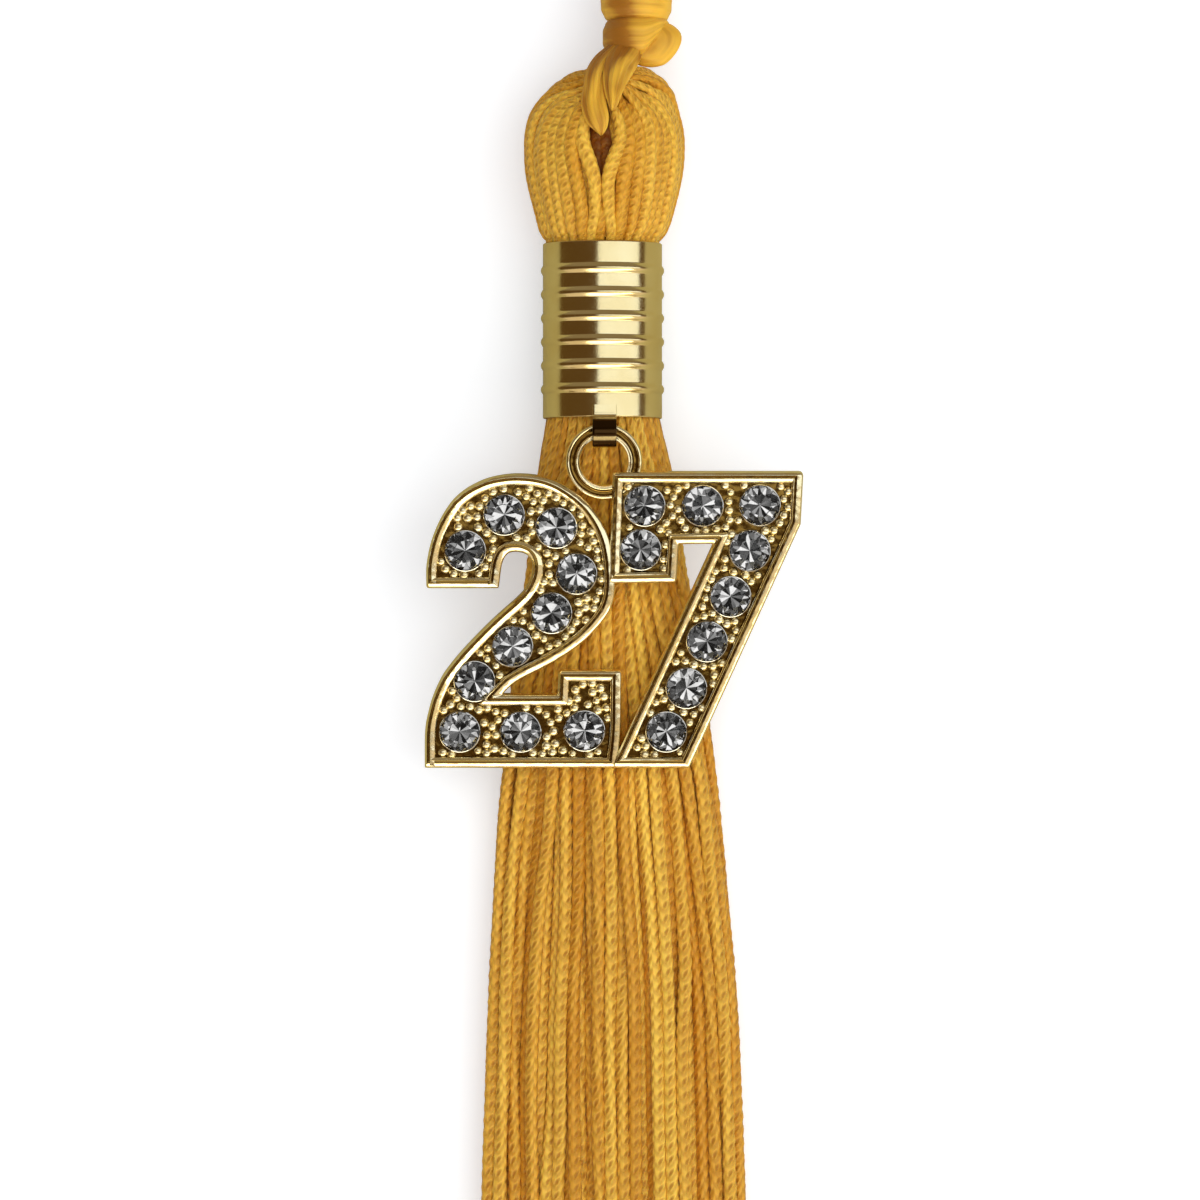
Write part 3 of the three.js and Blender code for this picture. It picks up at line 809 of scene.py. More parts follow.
@dataclass
class Fringe:
    """The yarn strands below the sleeve, settled row by row as they fan out on the table."""

    count: int = 112
    start_y: float = -15.0
    end_y: float = -211.2
    trim: float = 2.5
    station_step: float = 2.0
    tight_radius: float = 0.455
    loose_radius: float = 0.63
    softness: float = 1.11
    stitch: float = 1.36
    swell_end_y: float = -30.0
    settle_rounds: int = 45
    drift: tuple[float, float] = (0.17, 0.07)
    drift_lengths: tuple[float, float] = (26.0, 60.0)
    push: float = 0.3
    weight: float = 0.012
    blur: float = 1.4
    # A strand lies over another within this share of the radius across and this much higher.
    cover_share: float = 0.62
    cover_height: float = 0.3
    crown: float = 0.7
    shown_y: float = -98.0
    fine_step: float = 0.38
    far_step: float = 0.6
    top_share: float = 0.03
    # Rows of y, middle x, half width, height, floor and spread, from the sleeve down.
    bundle: Rows = (
        (-15.0, -1.1, 5.15, 10.3, 1.45, 0.0),
        (-17.7, -1.1, 5.2, 10.3, 1.4, 0.0),
        (-19.0, -1.05, 5.95, 10.5, 1.2, 0.05),
        (-21.0, -0.9, 6.5, 10.4, 0.95, 0.1),
        (-26.0, -0.75, 7.5, 10.1, 0.5, 0.3),
        (-34.0, -0.65, 8.6, 9.8, 0.0, 0.55),
        (-44.0, -0.55, 9.9, 9.3, 0.0, 0.8),
        (-56.0, -0.45, 11.2, 8.8, 0.0, 1.0),
        (-76.0, -0.05, 12.65, 8.3, 0.0, 1.0),
        (-96.0, 0.05, 13.4, 7.9, 0.0, 1.0),
        (-130.0, 0.4, 13.9, 7.6, 0.0, 1.0),
        (-170.0, 0.7, 14.2, 7.4, 0.0, 1.0),
        (-211.2, 0.8, 14.3, 7.2, 0.0, 1.0),
    )

    def section(self, y: Array) -> Array:
        """Middle x, half width, height, floor and spread of the bundle at each y."""
        table = np.array(self.bundle)[::-1]
        return np.stack([np.interp(y, table[:, 0], column) for column in table.T[1:]], axis=-1)

    def radius(self, y: Array) -> Array:
        """A strand's radius: tight in the sleeve, fuller once it is free."""
        swell = ease(self.start_y - 2, self.swell_end_y, y)
        return self.tight_radius + (self.loose_radius - self.tight_radius) * swell

    def kept_inside(self, places: Array, row: Array, radius: float) -> Array:
        """Keeps strands in the bundle's section, which turns from a disc into a flat heap.

        Args:
            places: The strands' x and z.
            row: The section's row of sizes.
            radius: A strand's radius.

        Returns:
            The places moved just inside.
        """
        middle, half, height, base, spread = row
        centre = np.array([middle, base + height / 2])
        scale = np.array([half - radius, height / 2 - radius])
        away = (places - centre) / scale
        disc = centre + away / np.maximum(np.linalg.norm(away, axis=1, keepdims=True), 1.0) * scale
        share = np.clip((places[:, 0] - middle) / half, radius / half - 1, 1 - radius / half)
        roof = base + height * np.sqrt(1 - self.crown * share**2) - radius
        heap = np.stack([middle + share * half, np.clip(places[:, 1], base + radius, roof)], axis=1)
        return disc + (heap - disc) * spread

    def settled(self) -> tuple[Array, Array]:
        """Settles the strands' section station by station along the tassel.

        Each section starts as the one before it, stretched to its new size and shifted by
        each strand's own slow drift. Then pairs that overlap push each other apart, and
        their weight and the heap's outline hold them together.

        Returns:
            The stations' y and the strands' x and z at each, (stations, strands, 2).
        """
        draw = np.random.default_rng(SEED)
        stations = np.arange(self.start_y, self.end_y - self.station_step, -self.station_step)
        rows = self.section(stations)
        number = np.arange(self.count)
        swirl = number * np.pi * (3 - math.sqrt(5))
        out = np.sqrt((number + 0.5) / self.count)
        places = np.stack([out * np.cos(swirl), out * np.sin(swirl)], axis=1)
        places = places * [rows[0, 1], rows[0, 2] / 2] + [rows[0, 0], rows[0, 3] + rows[0, 2] / 2]
        waves = draw.uniform(*self.drift_lengths, (self.count, 2))
        phases = draw.uniform(0, 2 * np.pi, (self.count, 2))
        track = []
        for step, y in enumerate(stations):
            old, new = rows[max(step - 1, 0)], rows[step]
            share = (places - [old[0], old[3]]) / [old[1], old[2]]
            places = share * [new[1], new[2]] + [new[0], new[3]]
            drift = np.cos(2 * np.pi * y / waves + phases) * self.drift * (0.25 + 0.75 * new[4])
            places = places + drift
            radius = float(self.radius(np.array([y]))[0])
            for _ in range(self.settle_rounds):
                gaps = places[:, None] - places[None]
                apart = np.linalg.norm(gaps, axis=2) + np.eye(self.count) * 9
                overlap = np.maximum(2 * radius - apart, 0)
                places = places + (gaps * (overlap / apart)[..., None]).sum(1) * self.push
                places[:, 1] -= self.weight * new[4]
                places = self.kept_inside(places, new, radius)
            track.append(places)
        return stations, self.smoothed(np.array(track))

    def smoothed(self, track: Array) -> Array:
        """Averages each strand's places along its length with a bell-shaped weight.

        Args:
            track: The strands' places at the stations.

        Returns:
            The smoothed places.
        """
        number = np.arange(len(track))
        weight = np.exp(-(((number[:, None] - number[None]) / self.blur) ** 2) / 2)
        weight = weight / weight.sum(1, keepdims=True)
        return np.einsum("st,tnc->snc", weight, track)

    def exposed(self, track: Array) -> Array:
        """Share of its stations at which no other strand lies over a strand.

        Args:
            track: The strands' places at the stations.

        Returns:
            One share for each strand.
        """
        reach = self.cover_share * self.loose_radius
        across = np.abs(track[:, :, None, 0] - track[:, None, :, 0]) < reach
        above = track[:, None, :, 1] > track[:, :, None, 1] + self.cover_height
        return 1 - (across & above).any(axis=2).mean(axis=0)

    def paths(self, stations: Array, track: Array, chosen: Array, steps: tuple[float, float]) -> Array:
        """Follows chosen strands at finer steps where they show most.

        Args:
            stations: The stations' y.
            track: The strands' places at the stations.
            chosen: The strands' numbers.
            steps: The step down to shown_y and the step beyond it.

        Returns:
            The middle lines, (strands, steps, 3).
        """
        near = np.arange(self.start_y, self.shown_y, -steps[0])
        far = np.arange(self.shown_y, self.end_y, -steps[1])
        line = np.append(np.concatenate([near, far]), self.end_y)
        cut = self.trim * (chosen * GOLDEN_SHARE % 1)
        reach = (self.end_y + cut - self.start_y) / (self.end_y - self.start_y)
        y = self.start_y + (line - self.start_y) * reach[:, None]
        place = np.clip((self.start_y - y) / self.station_step, 0, len(stations) - 1.001)
        low = place.astype(int)
        share = (place - low)[..., None]
        share = share * share * (3 - 2 * share) * 0.35 + share * 0.65
        column = chosen[:, None]
        flat = track[low, column] * (1 - share) + track[low + 1, column] * share
        return np.stack([flat[..., 0], y, flat[..., 1]], axis=-1)

    def strands(self, chosen: Array, stations: Array, track: Array, fine: bool, seed: int) -> Shape:
        """Knits the chosen strands.

        Args:
            chosen: The strands' numbers.
            stations: The stations' y.
            track: The strands' places at the stations.
            fine: Whether they have their relief and short steps.
            seed: The seed of their phases and tones.

        Returns:
            The strands as one shape.
        """
        steps = (self.fine_step, self.far_step) if fine else (2 * self.fine_step, 2 * self.far_step)
        paths = self.paths(stations, track, chosen, steps)
        radii = self.radius(paths[..., 1]) * self.softness
        uppers = np.broadcast_to(UP, paths.shape)
        return strands(paths, uppers, (radii, radii), self.stitch, fine, seed)

    def build(self) -> None:
        """Makes the fringe: the top strands in full detail, in three mixed groups, the rest plainer."""
        stations, track = self.settled()
        order = np.argsort(-self.exposed(track), kind="stable")
        top = order[: int((self.exposed(track) > self.top_share).sum())]
        LOG.info("%d strands show and %d lie below them", len(top), self.count - len(top))
        thirds = {"fringe_left": top[0::3], "fringe_middle": top[1::3], "fringe_right": top[2::3]}
        for seed, (name, chosen) in enumerate(thirds.items()):
            shape = self.strands(chosen, stations, track, True, SEED + seed)
            make_piece(name, shape, [YARN_FINISH], Body.TASSEL, ["yarn"])
        below = np.setdiff1d(order, top)
        shape = self.strands(below, stations, track, False, SEED + 7)
        make_piece("fringe_below", shape, [YARN_FINISH], Body.TASSEL, ["yarn"])


@dataclass
class YarnHead:
    """The bulb of yarn above the sleeve: strands that wrap over the top to the cord."""

    count: int = 36
    middle_y: float = 9.0
    axis_x: float = -0.9
    axis_z: float = 6.6
    sleeve_x: float = -1.1
    pole_tilt: float = 34.0
    low_latitude: float = -61.5
    high_latitude: float = 80.0
    steps: int = 84
    half_depth: float = 0.6
    half_widths: tuple[float, float] = (0.42, 0.86)
    # How wide a strand is against its share of the outline.
    fill: float = 1.2
    # How deep every second strand and the ones between dive under the cord at the top.
    dives: tuple[float, float] = (1.1, 0.25)
    unevenness: tuple[float, float] = (-0.1, 0.25)
    # Degrees that a strand sways along its way, and that its place varies.
    sway: float = 1.5
    jitter: float = 1.6
    cleft_angle: float = -3.5
    cleft_depth: float = 3.2
    cleft_low: float = 0.55
    # Degrees that the strands beside the cleft part at its top, after they close under it.
    cleft_part: float = 8.4
    cleft_close: float = 3.7
    # Up to how many strands away they part, and over how many of them less and less.
    cleft_reach: float = 4.2
    cleft_fade: float = 3.0
    cleft_shade: float = 2.0
    # How far the top leans to the right.
    lean: float = 0.9
    core_inset: float = 1.9
    core_drop: float = 1.2
    core_steps: int = 48
    stitch: float = 0.94
    # Rows of radius and y of the bulb's outline, from inside the sleeve to the top.
    profile: Rows = (
        (5.45, -1.2), (5.5, 0.0), (6.0, 0.6), (6.4, 1.3), (6.95, 3.0), (7.55, 5.2),
        (7.95, 7.2), (8.1, 9.0), (8.05, 10.9), (7.7, 12.6), (7.05, 14.2), (6.2, 15.7),
        (4.9, 17.0), (2.8, 18.0), (0.0, 18.4),
    )

    def reach(self, latitude: Array) -> Array:
        """Distance of the outline from the bulb's middle.

        Args:
            latitude: Angles above the widest ring.

        Returns:
            The distance at each angle.
        """
        rows = even_spline(np.array([(r, y, 0.0) for r, y in self.profile]), 200)
        angle = np.arctan2(rows[:, 1] - self.middle_y, rows[:, 0])
        return np.interp(latitude, angle, np.hypot(rows[:, 0], rows[:, 1] - self.middle_y))

    def lines(self, azimuth: Array, inset: Array) -> tuple[Array, Array]:
        """Lines over the bulb that run up from the sleeve and meet in front of its top.

        A line starts as a meridian. Above the widest ring the whole globe of lines is
        turned more and more towards the front, so that its pole ends pole_tilt in front.

        Args:
            azimuth: The lines' angles round the axis at each step, (lines, steps).
            inset: How deep they lie under the outline, (lines, steps).

        Returns:
            Their points and the directions out of the bulb, both (lines, steps, 3).
        """
        latitude = np.radians(np.linspace(self.low_latitude, self.high_latitude, azimuth.shape[1]))
        latitude = np.broadcast_to(latitude, azimuth.shape)
        start = np.stack(
            [np.sin(azimuth) * np.cos(latitude), np.sin(latitude), np.cos(azimuth) * np.cos(latitude)],
            axis=-1,
        )
        turn = math.radians(self.pole_tilt) * ease(math.radians(-12), math.radians(90), latitude)
        y = start[..., 1] * np.cos(turn) - start[..., 2] * np.sin(turn)
        z = start[..., 1] * np.sin(turn) + start[..., 2] * np.cos(turn)
        out = np.stack([start[..., 0], y, z], axis=-1)
        distance = self.reach(np.arcsin(np.clip(y, -1, 1))) - inset
        points = out * distance[..., None] + [0.0, self.middle_y, self.axis_z]
        shift = ease(-1.0, 3.0, points[..., 1])
        points[..., 0] += self.sleeve_x + (self.axis_x - self.sleeve_x) * shift
        points[..., 0] += self.lean * ease(12.5, 17.0, points[..., 1])
        sleeve = 1 - ease(-0.4, 2.0, points[..., 1])
        flat = np.stack([out[..., 0], np.zeros_like(y), z], axis=-1)
        return points, unit(out * (1 - sleeve[..., None]) + unit(flat) * sleeve[..., None])

    def layer(self, count: int, offset: float, extra: float, fine: bool, seed: int) -> Shape:
        """One layer of strands round the bulb.

        Args:
            count: The number of strands.
            offset: The first strand's angle in shares of the spacing.
            extra: How much deeper than the outline the layer lies.
            fine: Whether the strands have all their points and their relief.
            seed: The seed of the strands' unevenness.

        Returns:
            The strands as one shape.
        """
        draw = np.random.default_rng(seed)
        steps = self.steps if fine else self.steps // 2
        spacing = 2 * np.pi / count
        own = (np.arange(count)[:, None] + offset) * spacing + math.radians(self.cleft_angle)
        climb = np.linspace(0, 1, steps)
        pace = draw.uniform(0.7, 1.6, (count, 1))
        wander = np.sin(2 * np.pi * (climb * pace + draw.uniform(0, 1, (count, 1))))
        azimuth = own + math.radians(self.sway) * wander
        azimuth = azimuth + np.radians(draw.uniform(-self.jitter, self.jitter, (count, 1)))
        latitude = self.low_latitude + (self.high_latitude - self.low_latitude) * climb
        room = np.pi * self.reach(np.radians(latitude)) * np.cos(np.radians(latitude)) / count
        width = np.clip(room * self.fill, *self.half_widths) * draw.uniform(0.9, 1.1, (count, 1))
        depth = self.half_depth * np.clip(width / 0.6, 0.7, 1.0)
        dive = ease(40.0, 80.0, latitude) * np.where(np.arange(count) % 2, *self.dives)[:, None]
        inset = extra + depth + dive + draw.uniform(*self.unevenness, (count, 1))
        away = np.angle(np.exp(1j * (own - math.radians(self.cleft_angle))))
        facing = np.abs(away) < (0.02 if fine else 0.6 * spacing)
        near = np.clip((self.cleft_reach - np.abs(away) / spacing) / self.cleft_fade, 0, 1)
        beside = np.sign(away) * near * fine
        opening = self.cleft_part * ease(-32.0, 12.0, latitude) - self.cleft_close
        opening = opening * ease(-58.0, -44.0, latitude)
        azimuth = azimuth + np.radians(opening) * beside
        sunk = self.cleft_depth if fine else self.cleft_low
        inset = inset + sunk * ease(-48.0, -26.0, latitude) * facing
        shade = self.cleft_shade * ease(-34.0, -20.0, latitude) * facing
        paths, uppers = self.lines(azimuth, inset)
        paths[..., 2] = np.maximum(paths[..., 2], depth + 0.02)
        width = np.broadcast_to(width, inset.shape)
        sizes = (width, np.broadcast_to(depth, inset.shape))
        return strands(paths, uppers, sizes, self.stitch, 0.4 * fine, seed, shade)

    def core(self) -> Shape:
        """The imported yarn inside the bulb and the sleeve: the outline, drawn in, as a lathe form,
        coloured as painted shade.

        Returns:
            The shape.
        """
        bulb = [(max(r - self.core_inset, 0.02), y - self.core_drop) for r, y in self.profile[2:]]
        rows = [(0.02, -17.0), (5.0, -17.0), (5.0, -0.6), *bulb]
        shape = spun(np.array(rows), self.core_steps)
        shape.points[:, 2] = np.maximum(shape.points[:, 2] + self.axis_z, 0.6)
        shape.points[:, 0] += self.sleeve_x
        shape.values = {"thread": shape.points.copy(), "tone_and_painted_light": np.zeros(len(shape.points))}
        return shape

    def build(self) -> None:
        """Makes the outer strands, the ones seen between them and the core."""
        outer = self.layer(self.count, 0.0, 0.0, True, SEED + 20)
        make_piece("head_strands", outer, [HEAD_FINISH], Body.TASSEL, ["yarn"])
        inner = self.layer(self.count - 4, 0.5, 0.95, False, SEED + 21)
        make_piece("head_inner_strands", inner, [HEAD_FINISH], Body.TASSEL, ["yarn"])
        make_piece("head_core", self.core(), [CORE_PAINTED_SHADE_FINISH], Body.TASSEL, ["yarn"])


# Satin cord


@dataclass
class SatinCord:
    """The satin cord: its knot, the ends that go into the head, and the hanging loop."""

    radius: float = 1.2
    knot_x: float = 2.35
    knot_z: float = 6.6
    sides: int = 60
    filaments: int = 13
    filament_depth: float = 0.022
    # Rows of x, y, z, half width and half depth.
    left_end: Rows = (
        (1.6, 20.6, 7.2, 0.9, 0.9), (0.4, 19.4, 8.4, 0.95, 0.8), (-0.95, 18.0, 10.2, 0.98, 0.7),
        (-1.72, 16.6, 12.1, 0.95, 0.62), (-1.95, 15.0, 13.4, 0.98, 0.55), (-1.95, 13.4, 14.3, 1.12, 0.48),
        (-1.62, 12.0, 14.7, 1.08, 0.42), (-1.38, 11.2, 14.75, 0.8, 0.36), (-1.28, 10.6, 14.55, 0.4, 0.26),
        (-1.25, 10.3, 14.3, 0.1, 0.15),
    )
    right_end: Rows = (
        (2.4, 20.6, 7.4, 1.1, 0.9), (1.75, 19.5, 8.6, 1.3, 0.85), (1.05, 18.3, 10.2, 1.45, 0.72),
        (0.55, 17.2, 11.9, 1.38, 0.62), (0.2, 15.8, 13.3, 1.12, 0.55), (0.03, 14.6, 14.2, 0.82, 0.48),
        (-0.02, 13.6, 14.65, 0.52, 0.38), (-0.1, 13.0, 14.7, 0.3, 0.28), (-0.14, 12.7, 14.6, 0.08, 0.15),
    )
    # Rows of x and y round the outline of the flat bight beside the knot.
    bight: Rows = (
        (4.9, 22.35), (5.95, 22.0), (6.75, 21.25), (6.88, 20.4), (6.55, 19.5), (5.95, 18.65),
        (5.2, 17.98), (4.35, 17.72), (3.5, 17.68), (2.5, 17.9), (1.6, 18.5), (1.4, 19.8),
        (2.2, 21.2), (3.5, 22.1),
    )
    # Rows of x, y and z along the middle line of the free loop.
    route: Rows = (
        (0.95, 26.9, 6.6), (0.8, 31.0, 6.4), (0.2, 36.0, 5.4), (-0.9, 42.0, 3.7),
        (-2.2, 49.0, 2.1), (-3.5, 57.0, 1.25), (-4.6, 67.0, 1.25), (-5.4, 78.0, 1.25),
        (-5.9, 90.0, 1.25), (-5.6, 101.0, 1.25), (-3.5, 110.0, 1.25), (0.3, 115.0, 1.25),
        (4.8, 115.6, 1.25), (8.7, 111.8, 1.25), (10.9, 104.0, 1.25), (11.4, 94.0, 1.25),
        (11.0, 82.0, 1.25), (10.0, 70.0, 1.25), (8.6, 58.0, 1.25), (7.1, 49.0, 2.1),
        (5.8, 42.0, 3.7), (4.6, 36.0, 5.4), (4.0, 31.0, 6.4), (3.75, 26.9, 6.6),
    )

    def values(
        self, angle: Array, radius: float, run: Array, own: float, tone_and_painted_light: object
    ) -> dict[str, Array]:
        """Thread coordinates and tone of a surface whose filaments run along it; the tone holds painted
        light and shade.

        Args:
            angle: The angle round the section.
            radius: How far apart the streaks round it lie.
            run: The place along the surface.
            own: A number that sets its streaks apart.
            tone_and_painted_light: How light it is, as painted light and shade.

        Returns:
            The values at the points.
        """
        angle, run, tone_and_painted_light = np.broadcast_arrays(angle, run, tone_and_painted_light)
        rows = [np.cos(angle) * radius + own, np.sin(angle) * radius + own, run]
        return {"thread": np.stack(rows, axis=-1).reshape(-1, 3), "tone_and_painted_light": tone_and_painted_light.ravel().astype(float)}

    def strap(self, rows: Rows, upper: Direction, steps: int, own: float) -> Shape:
        """A pulled-flat length of cord: an ellipse with fine filament ridges along a curve.

        Args:
            rows: Rows of x, y, z, half width and half depth.
            upper: The direction that its flat side faces, or that it leans to.
            steps: The number of steps along it.
            own: A number that sets its streaks apart.

        Returns:
            The shape.
        """
        curve = even_spline(np.array(rows), steps)
        centres, sizes = curve[:, :3], curve[:, 3:]
        angle = turns(self.sides)
        share = np.linspace(0, 1, steps)[:, None]
        fray = (1.5 + 3.0 * share**3) * self.filament_depth
        fold = np.cos(4 * angle + own + 1.5 * np.sin(5 * share + own))
        ridge = 1 + fray * np.cos(self.filaments * angle + own + 2 * share) + 0.11 * fold
        offsets = np.stack(
            [np.cos(angle) * ridge * sizes[:, :1], np.sin(angle) * ridge * sizes[:, 1:]], axis=-1
        )
        points = carried(centres, np.broadcast_to(np.array(upper, float), centres.shape), offsets)
        # Painted light on one side and on the fold crests, and painted shade where the strap comes out of
        # the knot.
        tone_and_painted_light = 0.12 + 0.3 * np.cos(angle) + 0.3 * fold - 0.75 * np.exp(-((share / 0.42) ** 2))
        values = self.values(angle[None, :], 1.2, share * 12, own, tone_and_painted_light)
        return Shape(points.reshape(-1, 3), tube_faces(1, steps, self.sides), values)

    def wrap(self, low: float, high: float, reach: float, rise: float, tuck: float, own: float) -> Shape:
        """A turn of cord round the knot, as a band about the Y axis.

        Its section is a flat superellipse. Across the front the band rises by 'rise' for
        each millimetre to the right, and its lower edge lifts by 'tuck' at the right.

        Args:
            low: The band's lower edge.
            high: Its upper edge.
            reach: Its largest radius.
            rise: The slope across the front.
            tuck: How far the lower edge lifts at the right.
            own: A number that sets its streaks apart.

        Returns:
            The shape.
        """
        steps = 72
        turn = turns(steps)[:, None]
        angle = turns(self.sides)[None, :]
        right = ease(0.15, 1.0, np.sin(turn)) * ease(-0.5, 0.3, np.cos(turn))
        lower = low + tuck * right
        half = (high - lower) / 2
        depth = reach / 2
        ridge = 1 + 0.6 * self.filament_depth * np.cos(self.filaments * angle + own)
        bulge = np.sign(np.cos(angle)) * np.abs(np.cos(angle)) ** 0.85 * ridge
        flank = np.sign(np.sin(angle)) * np.abs(np.sin(angle)) ** 0.8 * ridge
        radius = depth + 0.05 + depth * bulge * (1 - 0.06 * right)
        swell = 1 + 0.03 * np.sin(2 * turn + own)
        x = radius * swell * np.sin(turn)
        y = (high + lower) / 2 + half * flank + rise * x * ease(-0.6, 0.4, np.cos(turn))
        z = radius * swell * np.cos(turn)
        points = np.stack([x + self.knot_x, y, z + self.knot_z], axis=-1).reshape(-1, 3)
        side = np.sin(turn) + 0.25 * np.sin(angle)
        # Painted light at the right, painted shade left of the middle and along the band's edge towards
        # the loop.
        tone_and_painted_light = 0.42 + 0.22 * side - 0.95 * np.exp(-(((side + 0.5) / 0.38) ** 2)) - 0.28 * np.sin(angle)
        values = self.values(angle, 1.4, 4 * np.sin(turn / 2) ** 2 * 3, own, tone_and_painted_light)
        return Shape(points, hoop_faces(steps, self.sides), values).outward()

    def pad(self, own: float) -> Shape:
        """The flat bight that bulges out beside the knot, with filaments that follow its edge.

        At the share r from its middle to its outline its faces lie at
        ± depth·(1 − r⁴)^½·(0.75 + 0.25·sin πr) from its middle plane, ribbed by r.

        Args:
            own: A number that sets its streaks apart.

        Returns:
            The shape.
        """
        steps, rings = 96, 22
        edge = np.array([*self.bight, self.bight[0]])
        edge = even_spline(np.column_stack([edge, np.zeros(len(edge))]), steps + 1)[:-1, :2]
        middle = np.array([2.7, 20.5])
        turn = np.linspace(0.02, np.pi - 0.02, rings)
        share, side = np.sin(turn), np.cos(turn)
        flat = middle + (edge[None] - middle) * share[:, None, None]
        rib = 1 + 0.6 * self.filament_depth * np.cos(26 * share)
        full = 0.75 + 0.25 * np.sin(np.pi * share)
        height = np.sign(side) * np.sqrt(np.abs(1 - share**4)) * full * rib
        level, depth, slope = 7.9, 1.05, 0.12
        z = level + depth * height[:, None] - slope * (flat[..., 1] - 20.0)
        points = np.concatenate([flat, z[..., None]], axis=-1).reshape(-1, 3)
        around = np.linspace(0, 14, steps)[None, :]
        # Painted light towards the outline and painted shade in the middle.
        values = self.values(turn[:, None], 1.3, around, own, 0.75 * share[:, None] ** 2 - 0.15)
        return Shape(points, tube_faces(1, rings, steps), values).outward()

    def loop(self) -> tuple[Shape, Array]:
        """The free loop: a round cord with fine filaments that wind slowly round it.

        Returns:
            The shape and its middle line.
        """
        steps, sides = 420, 24
        centres = even_spline(np.array(self.route), steps)
        angle = turns(sides)[None, :]
        run = np.linspace(0, 1, steps)[:, None] * 200
        wound = angle + run * 0.12
        uneven = 1 + 0.012 * np.sin(run * 0.9) + 0.012 * np.cos(4 * angle)
        offsets = np.stack([np.cos(wound) * uneven, np.sin(wound) * uneven], axis=-1) * self.radius
        uppers = np.broadcast_to(UP, centres.shape)
        points = rested(carried(centres, uppers, offsets))
        faces = tube_faces(1, steps, sides)
        shape = Shape(points.reshape(-1, 3), faces, self.values(angle, 1.2, run, 90.0, 0.1))
        return shape, centres

    def build_loop(self) -> None:
        shape, centres = self.loop()
        piece = make_piece("satin_loop", shape, [CORD_FINISH], Body.TASSEL, ["hanger_loop"])

    def build_knot(self) -> None:
        """Makes the knot and the two ends that go into the head."""
        front = (0.0, 0.45, 1.0)
        pieces = {
            "knot_lower_wrap": self.wrap(18.75, 22.95, 3.4, 0.02, 2.2, 3.0),
            "knot_upper_wrap": self.wrap(22.2, 27.0, 3.5, -0.02, 0.0, 11.0),
            "knot_side_bight": self.pad(23.0),
            "sling_left": self.strap(self.left_end, front, 60, 37.0),
            "sling_right": self.strap(self.right_end, front, 60, 51.0),
        }
        for name, shape in pieces.items():
            make_piece(name, shape, [CORD_FINISH], Body.TASSEL, ["hanger_knot"])


# Sleeve and bail


@dataclass
class Sleeve:
    """The metal sleeve with plain bands at its ends and six raised beads between them."""

    length: float = 17.7
    radius: float = 6.02
    bore: float = 5.62
    x: float = -1.1
    z: float = 6.6
    beads: int = 6
    pitch: float = 2.4
    first: float = 2.75
    bead_half: float = 0.5
    bead_rise: float = 0.22
    groove_half: float = 0.05
    groove_drop: float = 0.02
    lip: float = 0.12
    steps: int = 160

    def profile(self) -> Array:
        """The wall's section: flat bands, and at each bead a half wave between two grooves.

        Returns:
            Rows of radius and y that go once round the wall.
        """
        place = np.linspace(0, 1, 17)
        reach = self.bead_half + 2 * self.groove_half
        offset = np.concatenate([[reach + 0.07], (1 - 2 * place) * reach, [-reach - 0.07]])
        inner = np.abs(offset) <= self.bead_half
        bead = self.bead_rise * np.cos(np.clip(offset / self.bead_half, -1, 1) * np.pi / 2)
        share = np.clip((np.abs(offset) - self.bead_half) / (2 * self.groove_half), 0, 1)
        groove = -self.groove_drop * np.sin(share * np.pi)
        wave = np.where(inner, bead, groove)
        crests = -self.first - self.pitch * np.arange(self.beads)
        outer = np.stack(
            [self.radius + np.tile(wave, self.beads), (crests[:, None] + offset).ravel()], axis=1
        )
        turn = np.linspace(0, np.pi, 7)
        wall = (self.radius - self.bore) / 2
        radius = self.bore + wall - wall * np.cos(turn)
        top = np.stack([radius, self.lip * np.sin(turn) - self.lip], axis=1)
        top = np.concatenate([top, [[self.radius, -self.lip - 0.06]]])
        bottom = np.stack([top[::-1, 0], -self.length - top[::-1, 1]], axis=1)
        return np.concatenate([top, outer, bottom])

    def build(self) -> None:
        """Makes the sleeve, with painted shade in the grooves beside its beads."""
        profile = self.profile()
        shape = spun(profile, self.steps)
        shape.points += [self.x, 0.0, self.z]
        # Painted shade in the grooves beside the beads.
        depth = np.clip((self.radius - 0.02 - profile[:, 0]) / self.groove_drop, 0, 1)
        shape.values = {"patina_and_shade": np.tile(depth * 0.75, self.steps)}
        make_piece("sleeve", shape, [POLISHED_FINISH], Body.TASSEL, ["ferrule"], crease=50)


